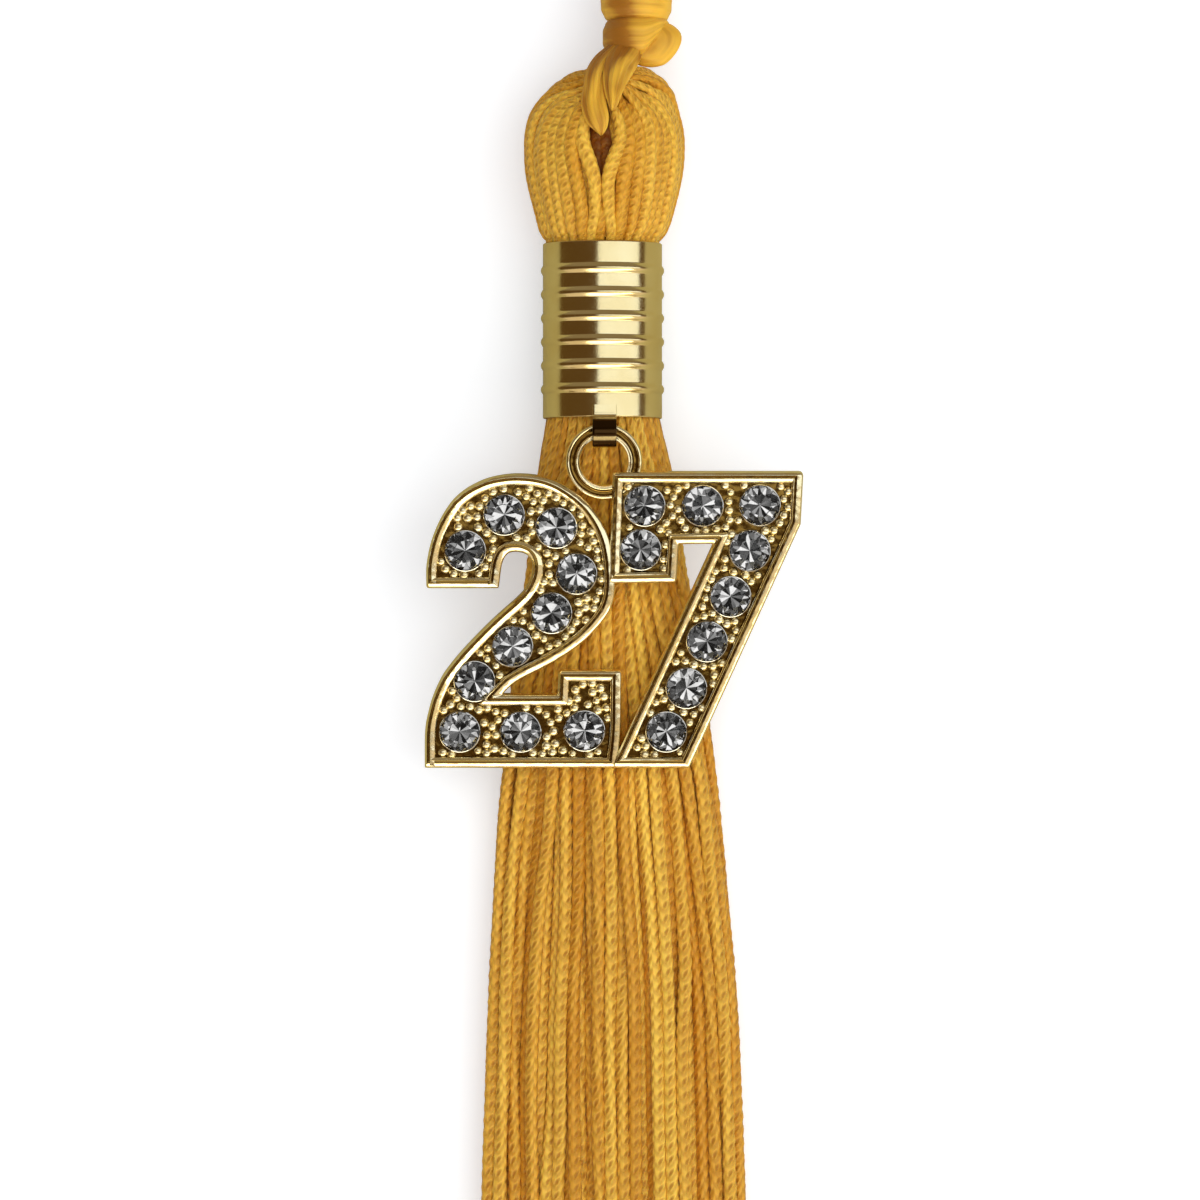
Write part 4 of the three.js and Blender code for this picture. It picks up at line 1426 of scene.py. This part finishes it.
@dataclass
class Bail:
    """The strap on the sleeve's lower edge, curled into an eye round the charm's ring."""

    x: float = -0.9
    pivot_y: float = -19.24
    pivot_z: float = 13.55
    half_width: float = 1.2
    half_strap: float = 0.2
    eye_middle: float = 1.4
    tab_end: float = 2.75
    tab_z: float = -0.45
    steps: int = 90

    def path(self) -> Array:
        """The strap's middle line: along the sleeve, up over the eye and round to its foot.

        Returns:
            Its points.
        """
        turn = np.radians(np.linspace(-8, 318, 33))
        curl = np.stack([np.cos(turn), np.sin(turn)], axis=1) * self.eye_middle
        lead = np.array([(self.tab_end, self.tab_z), (2.1, self.tab_z), (1.65, self.tab_z)])
        flat = np.concatenate([lead, curl])
        side = np.full(len(flat), self.x)
        rows = np.stack([side, flat[:, 0] + self.pivot_y, flat[:, 1] + self.pivot_z], axis=1)
        return even_spline(rows, self.steps)

    def build(self) -> None:
        """Carries a rectangle with rounded edges along the middle line, with painted shade over the top
        of its eye.
        """
        centres = self.path()
        turn = turns(28)
        wide = np.sign(np.cos(turn)) * np.abs(np.cos(turn)) ** 0.18 * self.half_width
        thick = np.sign(np.sin(turn)) * np.abs(np.sin(turn)) ** 0.45 * self.half_strap
        offsets = np.broadcast_to(np.stack([wide, thick], axis=1), (self.steps, 28, 2))
        along = unit(np.gradient(centres, axis=0))
        uppers = np.cross(along, np.array([1.0, 0.0, 0.0]))
        points = carried(centres, uppers, offsets).reshape(-1, 3)
        shape = Shape(points, tube_faces(1, self.steps, 28)).outward()
        # Painted shade over the top of the eye, a little less on a strip near the strap's end.
        bend = points[:, 1] - self.pivot_y
        front = ease(0.3, 0.7, points[:, 2] - self.pivot_z)
        edge = np.maximum(0.85 * ease(-0.47, -0.55, bend), ease(-0.85, -0.92, bend))
        dark = np.maximum(ease(1.3, 1.2, bend) * ease(-0.55, -0.47, bend), edge)
        shape.values = {"patina_and_shade": front * dark}
        make_piece("bail_strap", shape, [BAIL_PAINTED_SHADE_FINISH], Body.TASSEL, ["bail"], crease=40)


# Charm


@dataclass(frozen=True)
class CharmFrame:
    """The charm's own frame, with the hinge line at its zero, and its place in the tassel."""

    x: float = -0.95
    pivot_y: float = -19.24
    pivot_z: float = 13.55
    tilt: float = math.radians(5.66)
    foot: float = -33.44

    def placed(self, points: Array) -> Array:
        """Turns points of the charm's frame by its tilt and moves them to the hinge.

        Args:
            points: The points in the charm's frame.

        Returns:
            The points in the tassel's frame.
        """
        x, y, z = points.T
        cos, sin = math.cos(self.tilt), math.sin(self.tilt)
        along = y * cos - z * sin + self.pivot_y
        return np.stack([x + self.x, along, y * sin + z * cos + self.pivot_z], axis=1)


CHARM = CharmFrame()

# Stone places: x from the ring's middle and height above the numerals' foot line.
STONES = np.array([
    (-13.85, 21.6), (-9.95, 25.2), (-4.75, 23.9), (-2.75, 19.3), (-5.25, 15.35),
    (-9.15, 12.0), (-12.95, 8.5), (-14.45, 3.4), (-8.35, 3.4), (-1.95, 3.5),
    (4.05, 26.1), (9.85, 26.1), (15.55, 26.15), (3.65, 21.7), (14.55, 21.6),
    (12.65, 17.0), (10.3, 12.5), (8.25, 7.8), (6.25, 3.4),
])


@dataclass
class Numeral:
    """A block numeral: a rounded bead edge, a groove, a ridge and a sunk floor."""

    name: str
    corners: Array
    rounding: float = 0.42
    corner_steps: int = 4
    lean: tuple[float, float] = (-0.17, 0.1)
    lift: float = 0.0
    back: float = -1.1
    floor: float = 0.3
    seat_radius: float = 1.45
    # Rows of inset from the outline, height and darkness from patina and painted shade, from the flat
    # back to the floor.
    rim: Rows = (
        (0.5, -1.1, 0.0), (0.2, -1.1, 0.0), (0.14, -1.1, 0.0), (0.03, -1.04, 0.0), (0.0, -0.9, 0.0),
        (0.0, 0.5, 0.0), (0.02, 0.58, 0.0), (0.05, 0.65, 0.1), (0.1, 0.72, 0.12), (0.17, 0.78, 0.12),
        (0.25, 0.825, 0.1),
        (0.33, 0.86, 0.05), (0.4, 0.885, 0.0), (0.43, 0.885, 0.1), (0.46, 0.83, 0.6), (0.48, 0.7, 1.0),
        (0.64, 0.68, 1.0), (0.67, 0.86, 0.5), (0.7, 0.99, 0.0), (0.75, 1.03, 0.0), (0.84, 1.0, 0.0),
        (0.95, 0.94, 0.0), (1.04, 0.87, 0.1), (1.1, 0.78, 0.4), (1.14, 0.52, 0.8), (1.17, 0.3, 1.0),
    )

    def inset(self, distance: float) -> Array:
        """The outline moved inwards, with each corner a curve of corner_steps points.

        A corner moves along its mitre by distance·(n₁ + n₂)/(1 + n₁·n₂). A quadratic
        curve then leaves one side and meets the next a little way from the corner.

        Args:
            distance: How far each side moves.

        Returns:
            The points, corner by corner.
        """
        before = unit(self.corners - np.roll(self.corners, 1, axis=0))
        after = np.roll(before, -1, axis=0)
        left_in = np.stack([-before[:, 1], before[:, 0]], axis=1)
        left_out = np.stack([-after[:, 1], after[:, 0]], axis=1)
        cosine = (left_in * left_out).sum(1, keepdims=True)
        moved = self.corners + distance * (left_in + left_out) / (1 + cosine)
        turning = before[:, 0] * after[:, 1] - before[:, 1] * after[:, 0]
        half_tan = np.sqrt((1 - cosine[:, 0]) / (1 + cosine[:, 0]))
        length = np.linalg.norm(moved - np.roll(moved, 1, axis=0), axis=1)
        room = 0.46 * np.minimum(length, np.roll(length, -1))
        sharp = half_tan > 0.16
        bend = np.where(turning > 0, self.rounding - distance, 0.16 + 0.12 * distance)
        cut = np.where(sharp, np.minimum(np.maximum(bend * half_tan, 0.02), room), room)
        start = moved - before * cut[:, None]
        end = moved + after * cut[:, None]
        share = np.linspace(0, 1, self.corner_steps)[None, :, None]
        curve = start[:, None] * (1 - share) ** 2 + 2 * moved[:, None] * share * (1 - share)
        return (curve + end[:, None] * share**2).reshape(-1, 2)

    def inside(self, points: Array, margin: float) -> Array:
        """Whether points lie inside the outline and at least margin away from it.

        A point is inside where a level line through it meets an odd number of sides on its right.

        Args:
            points: The points' x and y.
            margin: The least distance to the outline.

        Returns:
            True or False for each point.
        """
        a, b = self.corners, np.roll(self.corners, -1, axis=0)
        side = b - a
        offset = points[:, None] - a
        share = np.clip((offset * side).sum(-1) / (side**2).sum(-1), 0, 1)
        distance = np.linalg.norm(offset - share[..., None] * side, axis=-1).min(1)
        crossing = (a[:, 1] > points[:, None, 1]) != (b[:, 1] > points[:, None, 1])
        rise = np.where(side[:, 1] == 0, 1e-9, side[:, 1])
        level = a[:, 0] + (points[:, None, 1] - a[:, 1]) / rise * side[:, 0]
        inner = (crossing & (points[:, None, 0] < level)).sum(1) % 2 == 1
        return inner & (distance > margin)

    def shell(self) -> Shape:
        """The casting: the rim's profile carried along the outline, a back and a floor.

        The groove and the ridge lie 'lean' to one side, so that the outer band is broader at
        the right and at the foot and the ridge at the left, and all above the walls is
        raised by 'lift'.

        Returns:
            The shape in the charm's frame, with values of patina and painted shade.
        """
        shares = np.interp([row[0] for row in self.rim], (0.15, 0.4, 0.85, 1.1), (0.0, 1.0, 1.0, 0.2))
        shares = shares * ([row[1] > self.back for row in self.rim])
        rings = [self.inset(row[0]) + share * np.array(self.lean) for row, share in zip(self.rim, shares)]
        size = len(rings[0])
        heights = np.repeat([height + self.lift * (height > 0.45) for _, height, _ in self.rim], size)
        points = np.column_stack([np.concatenate(rings), heights])
        number = np.arange(len(points)).reshape(len(rings), size)
        beside = np.roll(number, -1, axis=1)
        quads = np.stack([number[:-1], beside[:-1], beside[1:], number[1:]], axis=-1).reshape(-1, 4)
        # Patina and painted shade, darkest in the groove, down the inner wall and on the floor.
        dark = np.repeat([darkness for _, _, darkness in self.rim], size)
        back = number[:1, ::-1]
        floor, seats = self.floor_faces(points, number[-1])
        points = np.concatenate([points, seats.points])
        faces = [quads, back, floor, *seats.faces]
        values = {"patina_and_shade": np.concatenate([dark, np.full(len(seats.points), 1.0)])}
        return Shape(points, faces, values)

    def floor_faces(self, points: Array, edge: Faces) -> tuple[Faces, Shape]:
        """The sunk floor, cut by the stones' seats, and the seats below it.

        Args:
            points: The shell's points so far.
            edge: The numbers of the floor's outer points.

        Returns:
            The floor's triangles, and the seats as rings that narrow to a closed foot.
        """
        own = STONES[self.inside(STONES + [0, CHARM.foot], 1.0)] + [0, CHARM.foot]
        angle = turns(20)
        circle = np.stack([np.cos(angle), np.sin(angle)], axis=1)
        rows = ((self.seat_radius, self.floor), (0.3, -1.0))
        level = np.ones((len(own), 20, 1))
        rings = [
            np.concatenate([own[:, None] + circle * radius, level * height], axis=2)
            for radius, height in rows
        ]
        seats = np.stack(rings, axis=1)
        base = len(points)
        number = base + np.arange(seats[..., 0].size).reshape(seats.shape[:3])
        beside = np.roll(number, -1, axis=2)
        walls = np.stack([number[:, 0], number[:, 1], beside[:, 1], beside[:, 0]], axis=-1)
        loops = [points[edge], *seats[:, 0]]
        flat = [[Vector(point) for point in loop] for loop in loops]
        order = np.concatenate([edge, *number[:, 0]])
        triangles = order[np.array(tessellate_polygon(flat))]
        a, b, c = (np.concatenate([points, seats.reshape(-1, 3)])[triangles[:, i], :2] for i in range(3))
        area = (b[:, 0] - a[:, 0]) * (c[:, 1] - a[:, 1]) - (b[:, 1] - a[:, 1]) * (c[:, 0] - a[:, 0])
        triangles = np.where((area < 0)[:, None], triangles[:, ::-1], triangles)
        return triangles, Shape(seats.reshape(-1, 3), [walls.reshape(-1, 4), number[:, 1]])

    def build(self) -> None:
        """Makes the numeral's casting."""
        shape = self.shell()
        shape.points = CHARM.placed(shape.points)
        make_piece(f"charm_{self.name}", shape, [ANTIQUE_FINISH], Body.CHARM, ["charm"], crease=50)


def outline(rows: list) -> Array:
    """An anticlockwise outline in the charm's frame.

    Args:
        rows: Rows of x from the ring's middle and height above the foot line.

    Returns:
        The outline's corners.
    """
    points = np.array(rows) + [0, CHARM.foot]
    x, y = points.T
    area = (x * np.roll(y, -1) - y * np.roll(x, -1)).sum()
    return points if area > 0 else points[::-1]


# Rows of x from the ring's middle and height above the foot line.
TWO_BROW = [
    (-17.75, 17.83), (-17.77, 19.69), (-17.66, 20.7), (-17.47, 21.7), (-17.2, 22.71), (-16.83, 23.71),
    (-16.35, 24.72), (-15.76, 25.72), (-15.0, 26.73), (-13.95, 27.63), (-12.95, 28.22), (-11.7, 28.77),
    (-10.2, 29.12), (-8.5, 29.26), (-6.5, 29.08), (-4.7, 28.53), (-3.0, 27.53), (-1.5, 26.27),
    (-0.4, 24.82), (0.4, 23.21), (0.86, 21.5), (1.06, 19.89), (1.1, 18.18), (1.0, 16.88), (0.6, 15.62),
    (-0.02, 14.67), (-0.85, 13.66), (-1.85, 12.66), (-2.85, 11.85), (-3.85, 11.15), (-5.0, 10.45),
    (-6.4, 9.69), (-7.9, 8.94), (-9.2, 8.14), (-10.2, 7.15),
]
TWO_BACK = [
    (-17.97, -0.26), (-17.97, 1.6), (-17.94, 3.21), (-17.83, 4.32), (-17.6, 5.37), (-17.27, 6.58),
    (-16.77, 7.83), (-16.15, 9.04), (-15.35, 10.15), (-14.27, 11.45), (-12.95, 12.86), (-11.5, 14.32),
    (-10.1, 15.62), (-8.85, 16.72), (-7.9, 17.73), (-7.32, 18.79), (-7.12, 19.89), (-7.25, 20.65),
    (-7.65, 21.15), (-8.2, 21.4), (-8.85, 21.48), (-9.45, 21.38), (-9.88, 21.0), (-10.14, 20.4),
    (-10.3, 19.64), (-10.53, 17.83),
]
TWO = outline([
    *rounded_rows(TWO_BROW, 80), (-4.65, 7.15), (-4.55, 9.59), (1.77, 9.59), (1.7, 3.11), (1.3, -0.26),
    *rounded_rows(TWO_BACK, 90),
])
SEVEN = outline([
    (0.85, 29.49), (19.88, 29.49), (19.62, 24.26), (8.54, -0.26), (0.65, -0.26),
    (10.9, 22.3), (7.45, 22.25), (7.23, 18.41), (0.45, 18.31),
])


@dataclass
class Granules:
    """The small cast grains that fill the floor between the stones."""

    numerals: list[Numeral]
    radius: float = 0.5
    height: float = 0.56
    spacing: float = 0.88
    edge: float = 1.3
    stone_room: float = 2.44
    tries: int = 11000
    sides: int = 10
    # Rows of share of the radius and share of the height, from the floor to the top.
    dome: Rows = (
        (1.0, 0.0), (0.99, 0.3), (0.93, 0.55), (0.79, 0.77), (0.58, 0.92), (0.34, 0.985), (0.1, 1.0),
    )

    def places(self, numeral: Numeral, seed: int) -> Array:
        """Packs the free floor: each grain takes the free place nearest to the grains before it.

        Args:
            numeral: The numeral whose floor is filled.
            seed: The seed of the draws.

        Returns:
            The grains' x and y.
        """
        draw = np.random.default_rng(seed)
        offered = draw.uniform(numeral.corners.min(0), numeral.corners.max(0), (self.tries, 2))
        stones = STONES + [0, CHARM.foot]
        room = np.linalg.norm(offered[:, None] - stones, axis=2).min(1) > self.stone_room
        offered = offered[room & numeral.inside(offered, self.edge)]
        chosen = [0]
        nearest = np.linalg.norm(offered - offered[0], axis=1)
        while (nearest > self.spacing).any():
            chosen.append(int(np.argmin(np.where(nearest > self.spacing, nearest, np.inf))))
            nearest = np.minimum(nearest, np.linalg.norm(offered - offered[chosen[-1]], axis=1))
        return offered[chosen]

    def build(self) -> None:
        """Makes every grain as a small dome."""
        places = np.concatenate([self.places(n, SEED + 50 + i) for i, n in enumerate(self.numerals)])
        draw = np.random.default_rng(SEED + 60)
        size = draw.uniform(0.9, 1.08, (len(places), 1, 1))
        turn = turns(self.sides)
        reach, lift = np.array(self.dome).T
        x = places[:, 0, None, None] + self.radius * size * reach[:, None] * np.cos(turn)
        y = places[:, 1, None, None] + self.radius * size * reach[:, None] * np.sin(turn)
        z = self.numerals[0].floor - 0.03 + self.height * size * lift[:, None] + 0 * x
        points = np.stack([x, y, z], axis=-1).reshape(-1, 3)
        faces = tube_faces(len(places), len(reach), self.sides)
        # Patina and painted shade, darker round the foot of each grain.
        dark = np.broadcast_to(np.where(lift < 0.5, 0.2, 0.0)[:, None], x.shape).ravel()
        shape = Shape(CHARM.placed(points), faces, {"patina_and_shade": dark})
        make_piece("charm_granules", shape, [GRAIN_FINISH], Body.CHARM, ["charm"])


@dataclass
class CharmRing:
    """The charm's ring with its grooved face."""

    outer: float = 3.8
    inner: float = 2.375
    bar_offset: float = 0.15
    steps: int = 96
    # Rows of radius, height and darkness from patina and painted shade round the section.
    section: Rows = (
        (3.8, -0.36, 0.0), (3.8, 0.2, 0.0), (3.77, 0.36, 0.0), (3.68, 0.47, 0.0), (3.57, 0.5, 0.0),
        (3.47, 0.46, 0.1), (3.42, 0.3, 0.8), (3.39, 0.08, 1.0), (3.3, 0.02, 1.0), (3.0, 0.02, 1.0),
        (2.92, 0.08, 1.0), (2.89, 0.3, 0.8), (2.84, 0.43, 0.1), (2.77, 0.48, 0.0), (2.68, 0.46, 0.0),
        (2.62, 0.43, 0.2), (2.56, 0.45, 0.0), (2.48, 0.46, 0.0), (2.42, 0.38, 0.0), (2.375, 0.1, 0.0),
        (2.375, -0.36, 0.0), (2.44, -0.47, 0.0), (2.6, -0.5, 0.0), (3.58, -0.5, 0.0), (3.74, -0.47, 0.0),
    )

    def build(self) -> None:
        """Makes the ring."""
        rows = np.array(self.section)
        shape = spun(rows[:, :2], self.steps)
        x, y, z = shape.points.T
        centre = self.bar_offset - (self.outer + self.inner) / 2
        shape.points = CHARM.placed(np.stack([x, centre - z, y], axis=1))
        shape.values = {"patina_and_shade": np.tile(rows[:, 2], self.steps)}
        make_piece("charm_ring", shape.outward(), [ANTIQUE_FINISH], Body.CHARM, ["charm"], crease=60)


@dataclass
class Stone:
    """A round glass brilliant with a foiled back."""

    radius: float = 2.03
    table: float = 1.16
    mid: float = 1.66
    waist: float = 1.0
    table_z: float = 1.5
    girdle_top: float = 0.87
    girdle_low: float = 0.75
    point_z: float = 0.22
    uneven: float = 0.045
    # Rows of radius and height across the collar.
    collar: Rows = (
        (2.1, 0.68), (2.1, 0.8), (2.085, 0.85), (2.05, 0.885), (2.01, 0.895), (1.98, 0.87), (1.97, 0.8),
    )

    def crown(self) -> tuple[Array, list[Faces]]:
        """The glass: a table, eight stars, eight kites, sixteen small facets and the girdle.

        A kite is flat, so the height of its side corners follows from the line between its
        ends: z falls by the same slope times the distance along the kite's middle.

        Returns:
            The points and the facets.
        """
        eighth = np.arange(8) * np.pi / 4
        between = eighth + np.pi / 8
        sixteenth = np.arange(16) * np.pi / 8
        reach = self.mid * math.cos(np.pi / 8)
        drop = self.table_z - self.girdle_top
        mid_z = self.table_z - (reach - self.table) * drop / (self.radius - self.table)
        rows = (
            (eighth, self.table, self.table_z), (between, self.mid, mid_z),
            (sixteenth, self.radius, self.girdle_top), (sixteenth, self.radius, self.girdle_low),
        )
        points = [np.column_stack([np.cos(a) * r, np.sin(a) * r, np.full(len(a), z)]) for a, r, z in rows]
        table, mid, top, low = (np.arange(8), 8 + np.arange(8), 16 + np.arange(16), 32 + np.arange(16))
        even, odd, following = top[0::2], top[1::2], np.roll(top[0::2], -1)
        facets = [
            table[None, :],
            np.stack([table, mid, np.roll(table, -1)], axis=1),
            np.stack([table, np.roll(mid, 1), even, mid], axis=1),
            np.concatenate([np.stack([mid, even, odd], axis=1), np.stack([mid, odd, following], axis=1)]),
            np.stack([top, low, np.roll(low, -1), np.roll(top, -1)], axis=1),
        ]
        return np.concatenate(points), facets

    def shape(self, seed: int) -> tuple[Shape, Array]:
        """Adds the foiled back: a fan of sixteen narrow facets inside thirty-two small ones.

        The corners between them lie a little high and low by turns, so that neighbours
        mirror different parts of the room. A thin rounded collar of foil holds the girdle.

        Args:
            seed: The seed of the unevenness.

        Returns:
            The shape, and for each face 0 for glass or 1 for foil.
        """
        draw = np.random.default_rng(seed)
        points, facets = self.crown()
        angle = (np.arange(16) + 0.5) * np.pi / 8
        level = self.point_z + self.waist * (self.girdle_low - self.point_z) / self.radius
        by_turns = self.uneven * np.where(np.arange(16) % 2, 1, -1)
        height = level + by_turns + draw.uniform(-0.6, 0.6, 16) * self.uneven
        ring = np.column_stack([np.cos(angle) * self.waist, np.sin(angle) * self.waist, height])
        points = np.concatenate([points, ring, [[0.0, 0.0, self.point_z]]])
        low, waist = 32 + np.arange(16), 48 + np.arange(16)
        back = np.concatenate([
            np.stack([np.full(16, 64), waist, np.roll(waist, 1)], axis=1),
            np.stack([waist, low, np.roll(waist, 1)], axis=1),
            np.stack([waist, np.roll(low, -1), low], axis=1),
        ])
        turn = np.arange(48) * np.pi / 24
        reach, height = np.array(self.collar).T
        heights = np.outer(height, np.ones(len(turn)))
        rows = [np.outer(reach, np.cos(turn)), np.outer(reach, np.sin(turn)), heights]
        collar = np.stack(rows, axis=-1)
        number = len(points) + np.arange(collar[..., 0].size).reshape(collar.shape[:2])
        beside = np.roll(number, -1, axis=1)
        band = np.stack([number[:-1], beside[:-1], beside[1:], number[1:]], axis=-1).reshape(-1, 4)
        points = np.concatenate([points, collar.reshape(-1, 3)])
        glass = sum(len(group) for group in facets)
        kinds = np.repeat([0, 1], [glass, len(back) + len(band)])
        return Shape(points, [*facets, back, band]), kinds

    def build(self) -> None:
        """Sets a stone in each seat, each at its own turn and a degree or two out of level."""
        draw = np.random.default_rng(SEED + 80)
        for number, (x, h) in enumerate(STONES, 1):
            shape, kinds = self.shape(SEED + 90 + number)
            turn, lean_x, lean_y = draw.uniform(0, np.pi / 4), *np.radians(draw.normal(0, 1.1, 2))
            cos, sin = math.cos(turn), math.sin(turn)
            spin = np.array([[cos, -sin, 0], [sin, cos, 0], [0, 0, 1]])
            lean = np.array([[1, 0, lean_x], [0, 1, lean_y], [-lean_x, -lean_y, 1]])
            points = (shape.points - [0, 0, self.girdle_low]) @ spin.T @ lean.T + [0, 0, self.girdle_low]
            points = CHARM.placed(points + [x, h + CHARM.foot, 0])
            node = f"stone_{number:02d}"
            placed = Shape(points, shape.faces, {"patina_and_shade": np.zeros(len(points))})
            finishes = [GLASS_FINISH, FOIL_FINISH]
            make_piece(
                f"glass_{node}", placed, finishes, Body.CHARM, [node], crease=1, finish_of_face=kinds
            )


# Studio


@dataclass(frozen=True)
class Softbox:
    """A studio light panel that hangs parallel to the table and is then turned about the object.

    Its place before the turn is 'shift' sideways and 'distance' above; 'turn' is its angles in
    degrees about X and then Y.
    """

    name: str
    turn: tuple[float, float]
    shift: tuple[float, float]
    distance: float
    sides: tuple[float, float]
    radiance: float
    tint: Color = (1.0, 1.0, 1.0)
    seen: Seen = Seen.ALL

    def build(self, centre: Vector) -> None:
        """Hangs the panel over the centre and turns it into place.

        A panel of radiance L and area A needs the power L·A·π watts in Blender, because it
        gives off light with the cosine of the angle.

        Args:
            centre: The point that it is turned about.
        """
        light = bpy.data.lights.new(self.name, "AREA")
        light.shape = "RECTANGLE"
        light.size, light.size_y = self.sides
        light.energy = self.radiance * self.sides[0] * self.sides[1] * math.pi
        light.color = self.tint
        panel = bpy.data.objects.new(self.name, light)
        turned = Euler((math.radians(self.turn[0]), math.radians(self.turn[1]), 0.0))
        panel.location = centre + turned.to_matrix() @ Vector((*self.shift, self.distance))
        panel.rotation_euler = turned
        panel.visible_transmission = False
        panel.visible_glossy = self.seen is not Seen.MATT
        panel.visible_diffuse = self.seen is not Seen.MIRRORS
        bpy.context.scene.collection.objects.link(panel)


@dataclass
class Studio:
    """The pale table, the softboxes and the camera straight above."""

    view_width: float = 0.120
    view_centre: tuple[float, float, float] = (-0.00135, 0.0561, 0.012)
    lens: float = 150.0
    sensor: float = 36.0
    floor_size: float = 4.0
    floor_color: Color = (0.8, 0.8, 0.8)
    floor_mirrored: Color = (0.47, 0.4, 0.17)
    floor_lift: float = 0.36
    lit_wall: Color = (0.6, 0.6, 0.62)
    dim_wall: Color = (0.31, 0.31, 0.31)
    mirror_dark: Color = (0.11, 0.058, 0.014)
    mirror_front: Color = (0.8, 0.64, 0.44)
    mirror_rear: Color = (0.27, 0.21, 0.13)
    glass_tint: Color = (1.0, 1.0, 1.0)
    glass_levels: tuple[float, float] = (-4.2, 0.25)
    backdrop: Color = (0.9, 0.9, 0.9)
    lit_side: Direction = (0.2, -1.05, 0.0)
    panels: tuple[Softbox, ...] = (
        Softbox("overhead_right", (0.0, 33.0), (0.0, 0.07), 0.9, (1.62, 0.46), 1.2, (0.92, 0.98, 1.0)),
        Softbox(
            "front_key", (50.0, 0.0), (0.35, 0.0), 0.9, (1.5, 0.4), 3.2, (1.0, 0.95, 0.7), Seen.MIRRORS
        ),
        Softbox("front_fill", (50.0, 0.0), (0.35, 0.0), 0.9, (1.5, 0.4), 1.45, seen=Seen.MATT),
        Softbox("overhead_fill", (0.0, 0.0), (0.15, 0.05), 0.9, (1.1, 1.1), 0.95, seen=Seen.MATT),
    )

    def build_camera(self) -> None:
        """Makes the camera at the height where the view is view_width wide."""
        data = bpy.data.cameras.new("camera")
        data.lens = self.lens
        data.sensor_width = self.sensor
        data.clip_start, data.clip_end = 0.01, 20.0
        camera = bpy.data.objects.new("camera", data)
        distance = self.view_width * self.lens / self.sensor
        camera.location = Vector(self.view_centre) + Vector((0, 0, distance))
        bpy.context.scene.collection.objects.link(camera)
        bpy.context.scene.camera = camera
        bpy.context.scene.view_settings.view_transform = "Standard"

    def build_floor(self) -> None:
        """Makes the pale table top. Mirror-like pieces see it in a darker gold-beige, which paints a warm
        reflection on them.
        """
        half = self.floor_size / 2
        mesh = bpy.data.meshes.new("table_top")
        corners = [(-half, -half, 0), (half, -half, 0), (half, half, 0), (-half, half, 0)]
        mesh.from_pydata(corners, [], [(0, 1, 2, 3)])
        material, graph, shader = new_material("table_top")
        grain = graph.noise(graph.add("TexCoord").outputs["Object"], 60.0)
        share = graph.spread(grain, NOISE_RANGE)
        low = tuple(part * 0.99 for part in self.floor_color)
        seen = graph.add("LightPath")
        pale = graph.blend(share, low, self.floor_color)
        # Painted reflection: mirror-like pieces see the table gold-beige.
        color = graph.blend(seen.outputs["Is Glossy Ray"], pale, self.floor_mirrored)
        lift = graph.spread(seen.outputs["Is Camera Ray"], (0.0, 1.0, 0.0, self.floor_lift))
        glow = {"Emission Color": (0.97, 1.0, 1.04, 1.0), "Emission Strength": lift}
        graph.feed(shader, {"Base Color": color, "Roughness": 0.65, **glow})
        mesh.materials.append(material)
        floor = bpy.data.objects.new("table_top", mesh)
        bpy.context.scene.collection.objects.link(floor)

    def build_world(self) -> None:
        """Makes the surroundings: pale walls, as the matt pieces see them.

        Mirror-like pieces see a dark room with one lit wall in front and a dim one behind,
        and the stones see a grey room with small bright and dark cards.
        """
        world = bpy.data.worlds.new("studio")
        world.use_nodes = True
        world.node_tree.nodes.clear()
        graph = Graph(world.node_tree)
        around = graph.add("TexCoord").outputs["Generated"]
        axes = graph.add("SeparateXYZ", {"Vector": around})
        seen = graph.add("LightPath")
        leaning = graph.add("VectorMath", {0: around, 1: self.lit_side}, operation="DOT_PRODUCT")
        lit = graph.spread(leaning.outputs["Value"], (-0.5, 0.6, 0.0, 1.0))
        matt = graph.blend(lit, self.dim_wall, self.lit_wall)
        front_wall = graph.spread(leaning.outputs["Value"], (0.26, 0.42, 0.0, 1.0))
        rear_wall = graph.spread(axes.outputs["Y"], (0.3, 0.6, 0.0, 1.0))
        mirrored = graph.blend(front_wall, self.mirror_dark, self.mirror_front)
        mirrored = graph.blend(rear_wall, mirrored, self.mirror_rear)
        cards = graph.noise(around, 4.5, 0.0)
        share = graph.spread(cards, (0.38, 0.66, *self.glass_levels))
        level = graph.math("EXPONENT", share)
        glass = graph.blend(level, (0.0, 0.0, 0.0), self.glass_tint)
        color = graph.blend(seen.outputs["Is Glossy Ray"], matt, mirrored)
        color = graph.blend(seen.outputs["Is Transmission Ray"], color, glass)
        shown = graph.blend(seen.outputs["Is Camera Ray"], color, self.backdrop)
        background = graph.add("Background", {"Color": shown})
        graph.add("OutputWorld", {"Surface": background.outputs["Background"]})
        bpy.context.scene.world = world

    def build_lights(self) -> None:
        """Makes the softboxes and the surroundings."""
        for panel in self.panels:
            panel.build(Vector(self.view_centre))
        self.build_world()


def main() -> None:
    """Builds the studio and every piece of the tassel."""
    logging.basicConfig(level=logging.INFO, format="%(message)s")
    studio = Studio()
    studio.build_camera()
    cord = SatinCord()
    cord.build_loop()
    cord.build_knot()
    YarnHead().build()
    Fringe().build()
    Sleeve().build()
    Bail().build()
    numerals = [Numeral("two", TWO), Numeral("seven", SEVEN, lift=0.1)]
    for numeral in numerals:
        numeral.build()
    CharmRing().build()
    Granules(numerals).build()
    Stone().build()
    studio.build_floor()
    studio.build_lights()


if __name__ == "__main__":
    main()
